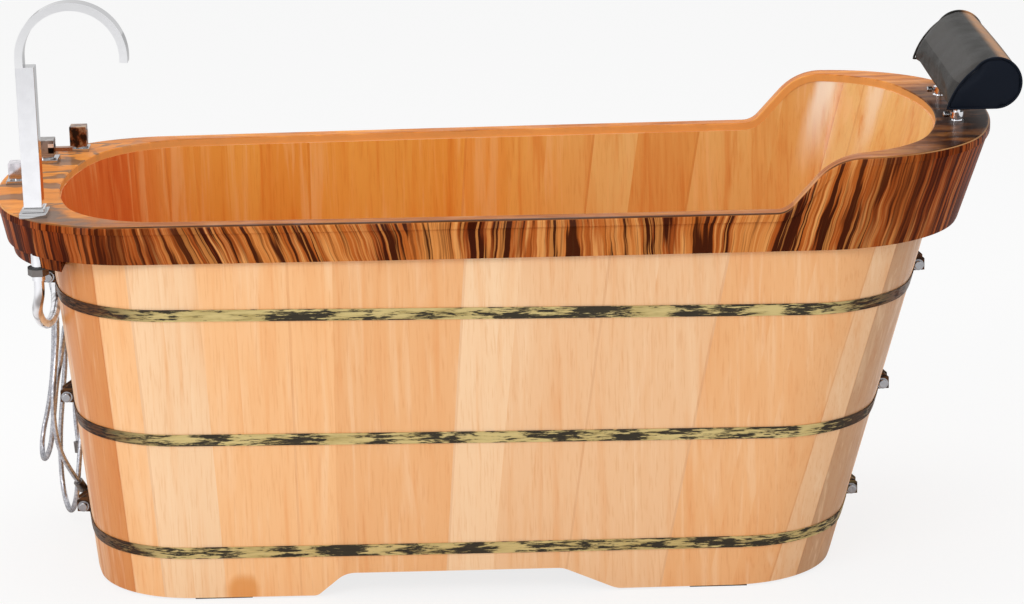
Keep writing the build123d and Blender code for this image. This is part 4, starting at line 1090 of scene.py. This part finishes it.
def studio_world():
    """Soft white light all round; the camera and reflections see a brighter white."""
    world = bpy.data.worlds.new("studio")
    scene.world = world
    world.use_nodes = True
    tree = world.node_tree
    background = tree.nodes["Background"]
    bright = tree.nodes.new("ShaderNodeBackground")
    for node, strength in ((background, light_strength), (bright, seen_strength)):
        node.inputs[0].default_value = white
        node.inputs[1].default_value = strength
    path = tree.nodes.new("ShaderNodeLightPath")
    either = tree.nodes.new("ShaderNodeMath")
    either.operation = "MAXIMUM"
    tree.links.new(path.outputs["Is Camera Ray"], either.inputs[0])
    tree.links.new(path.outputs["Is Glossy Ray"], either.inputs[1])
    mixed = tree.nodes.new("ShaderNodeMixShader")
    for index, node in enumerate((either, background, bright)):
        tree.links.new(node.outputs[0], mixed.inputs[index])
    tree.links.new(mixed.outputs[0], tree.nodes["World Output"].inputs[0])


def softbox(name, place, aim, size, power):
    """A rectangular lamp that looks at a point."""
    lamp = bpy.data.lights.new(name, "AREA")
    lamp.shape = "RECTANGLE"
    lamp.size, lamp.size_y = size
    lamp.energy = power
    holder = bpy.data.objects.new(name, lamp)
    holder.location = place
    holder.rotation_euler = (Vector(aim) - Vector(place)).to_track_quat("-Z", "Y").to_euler()
    scene.collection.objects.link(holder)


def photo_camera():
    """The camera at the photograph's viewing angle."""
    yaw, pitch, roll = (math.radians(value) for value in (camera_yaw, camera_pitch, camera_roll))
    ahead = Vector((math.sin(yaw) * math.cos(pitch), math.cos(yaw) * math.cos(pitch), -math.sin(pitch)))
    level = Vector((math.cos(yaw), -math.sin(yaw), 0))
    above = level.cross(ahead)
    right = level * math.cos(roll) + above * math.sin(roll)
    up = above * math.cos(roll) - level * math.sin(roll)
    lens = bpy.data.cameras.new("photo_camera")
    lens.sensor_fit = "HORIZONTAL"
    lens.sensor_width = sensor_width
    lens.lens = camera_focal_px / photo_width * sensor_width
    holder = bpy.data.objects.new("photo_camera", lens)
    turn = Matrix((right, up, -ahead)).transposed().to_4x4()
    holder.matrix_world = Matrix.Translation(camera_place) @ turn
    scene.collection.objects.link(holder)
    scene.camera = holder


studio_floor()
studio_world()
softbox("key_light", (-1.6, -3.4, 3.2), (0, 0, 0.4), (2.4, 1.6), 54)
softbox("fill_light", (2.6, -2.8, 2.4), (0, 0, 0.4), (2.0, 1.6), 4)
softbox("strip_light", (-3.4, -2.7, 1.3), (0.5, 0.27, 0.55), (0.4, 1.6), 16)
softbox("top_light", (0, 0.4, 3.4), (0, 0, 0.4), (2.6, 1.4), 30)
photo_camera()
scene.view_settings.view_transform = "Standard"
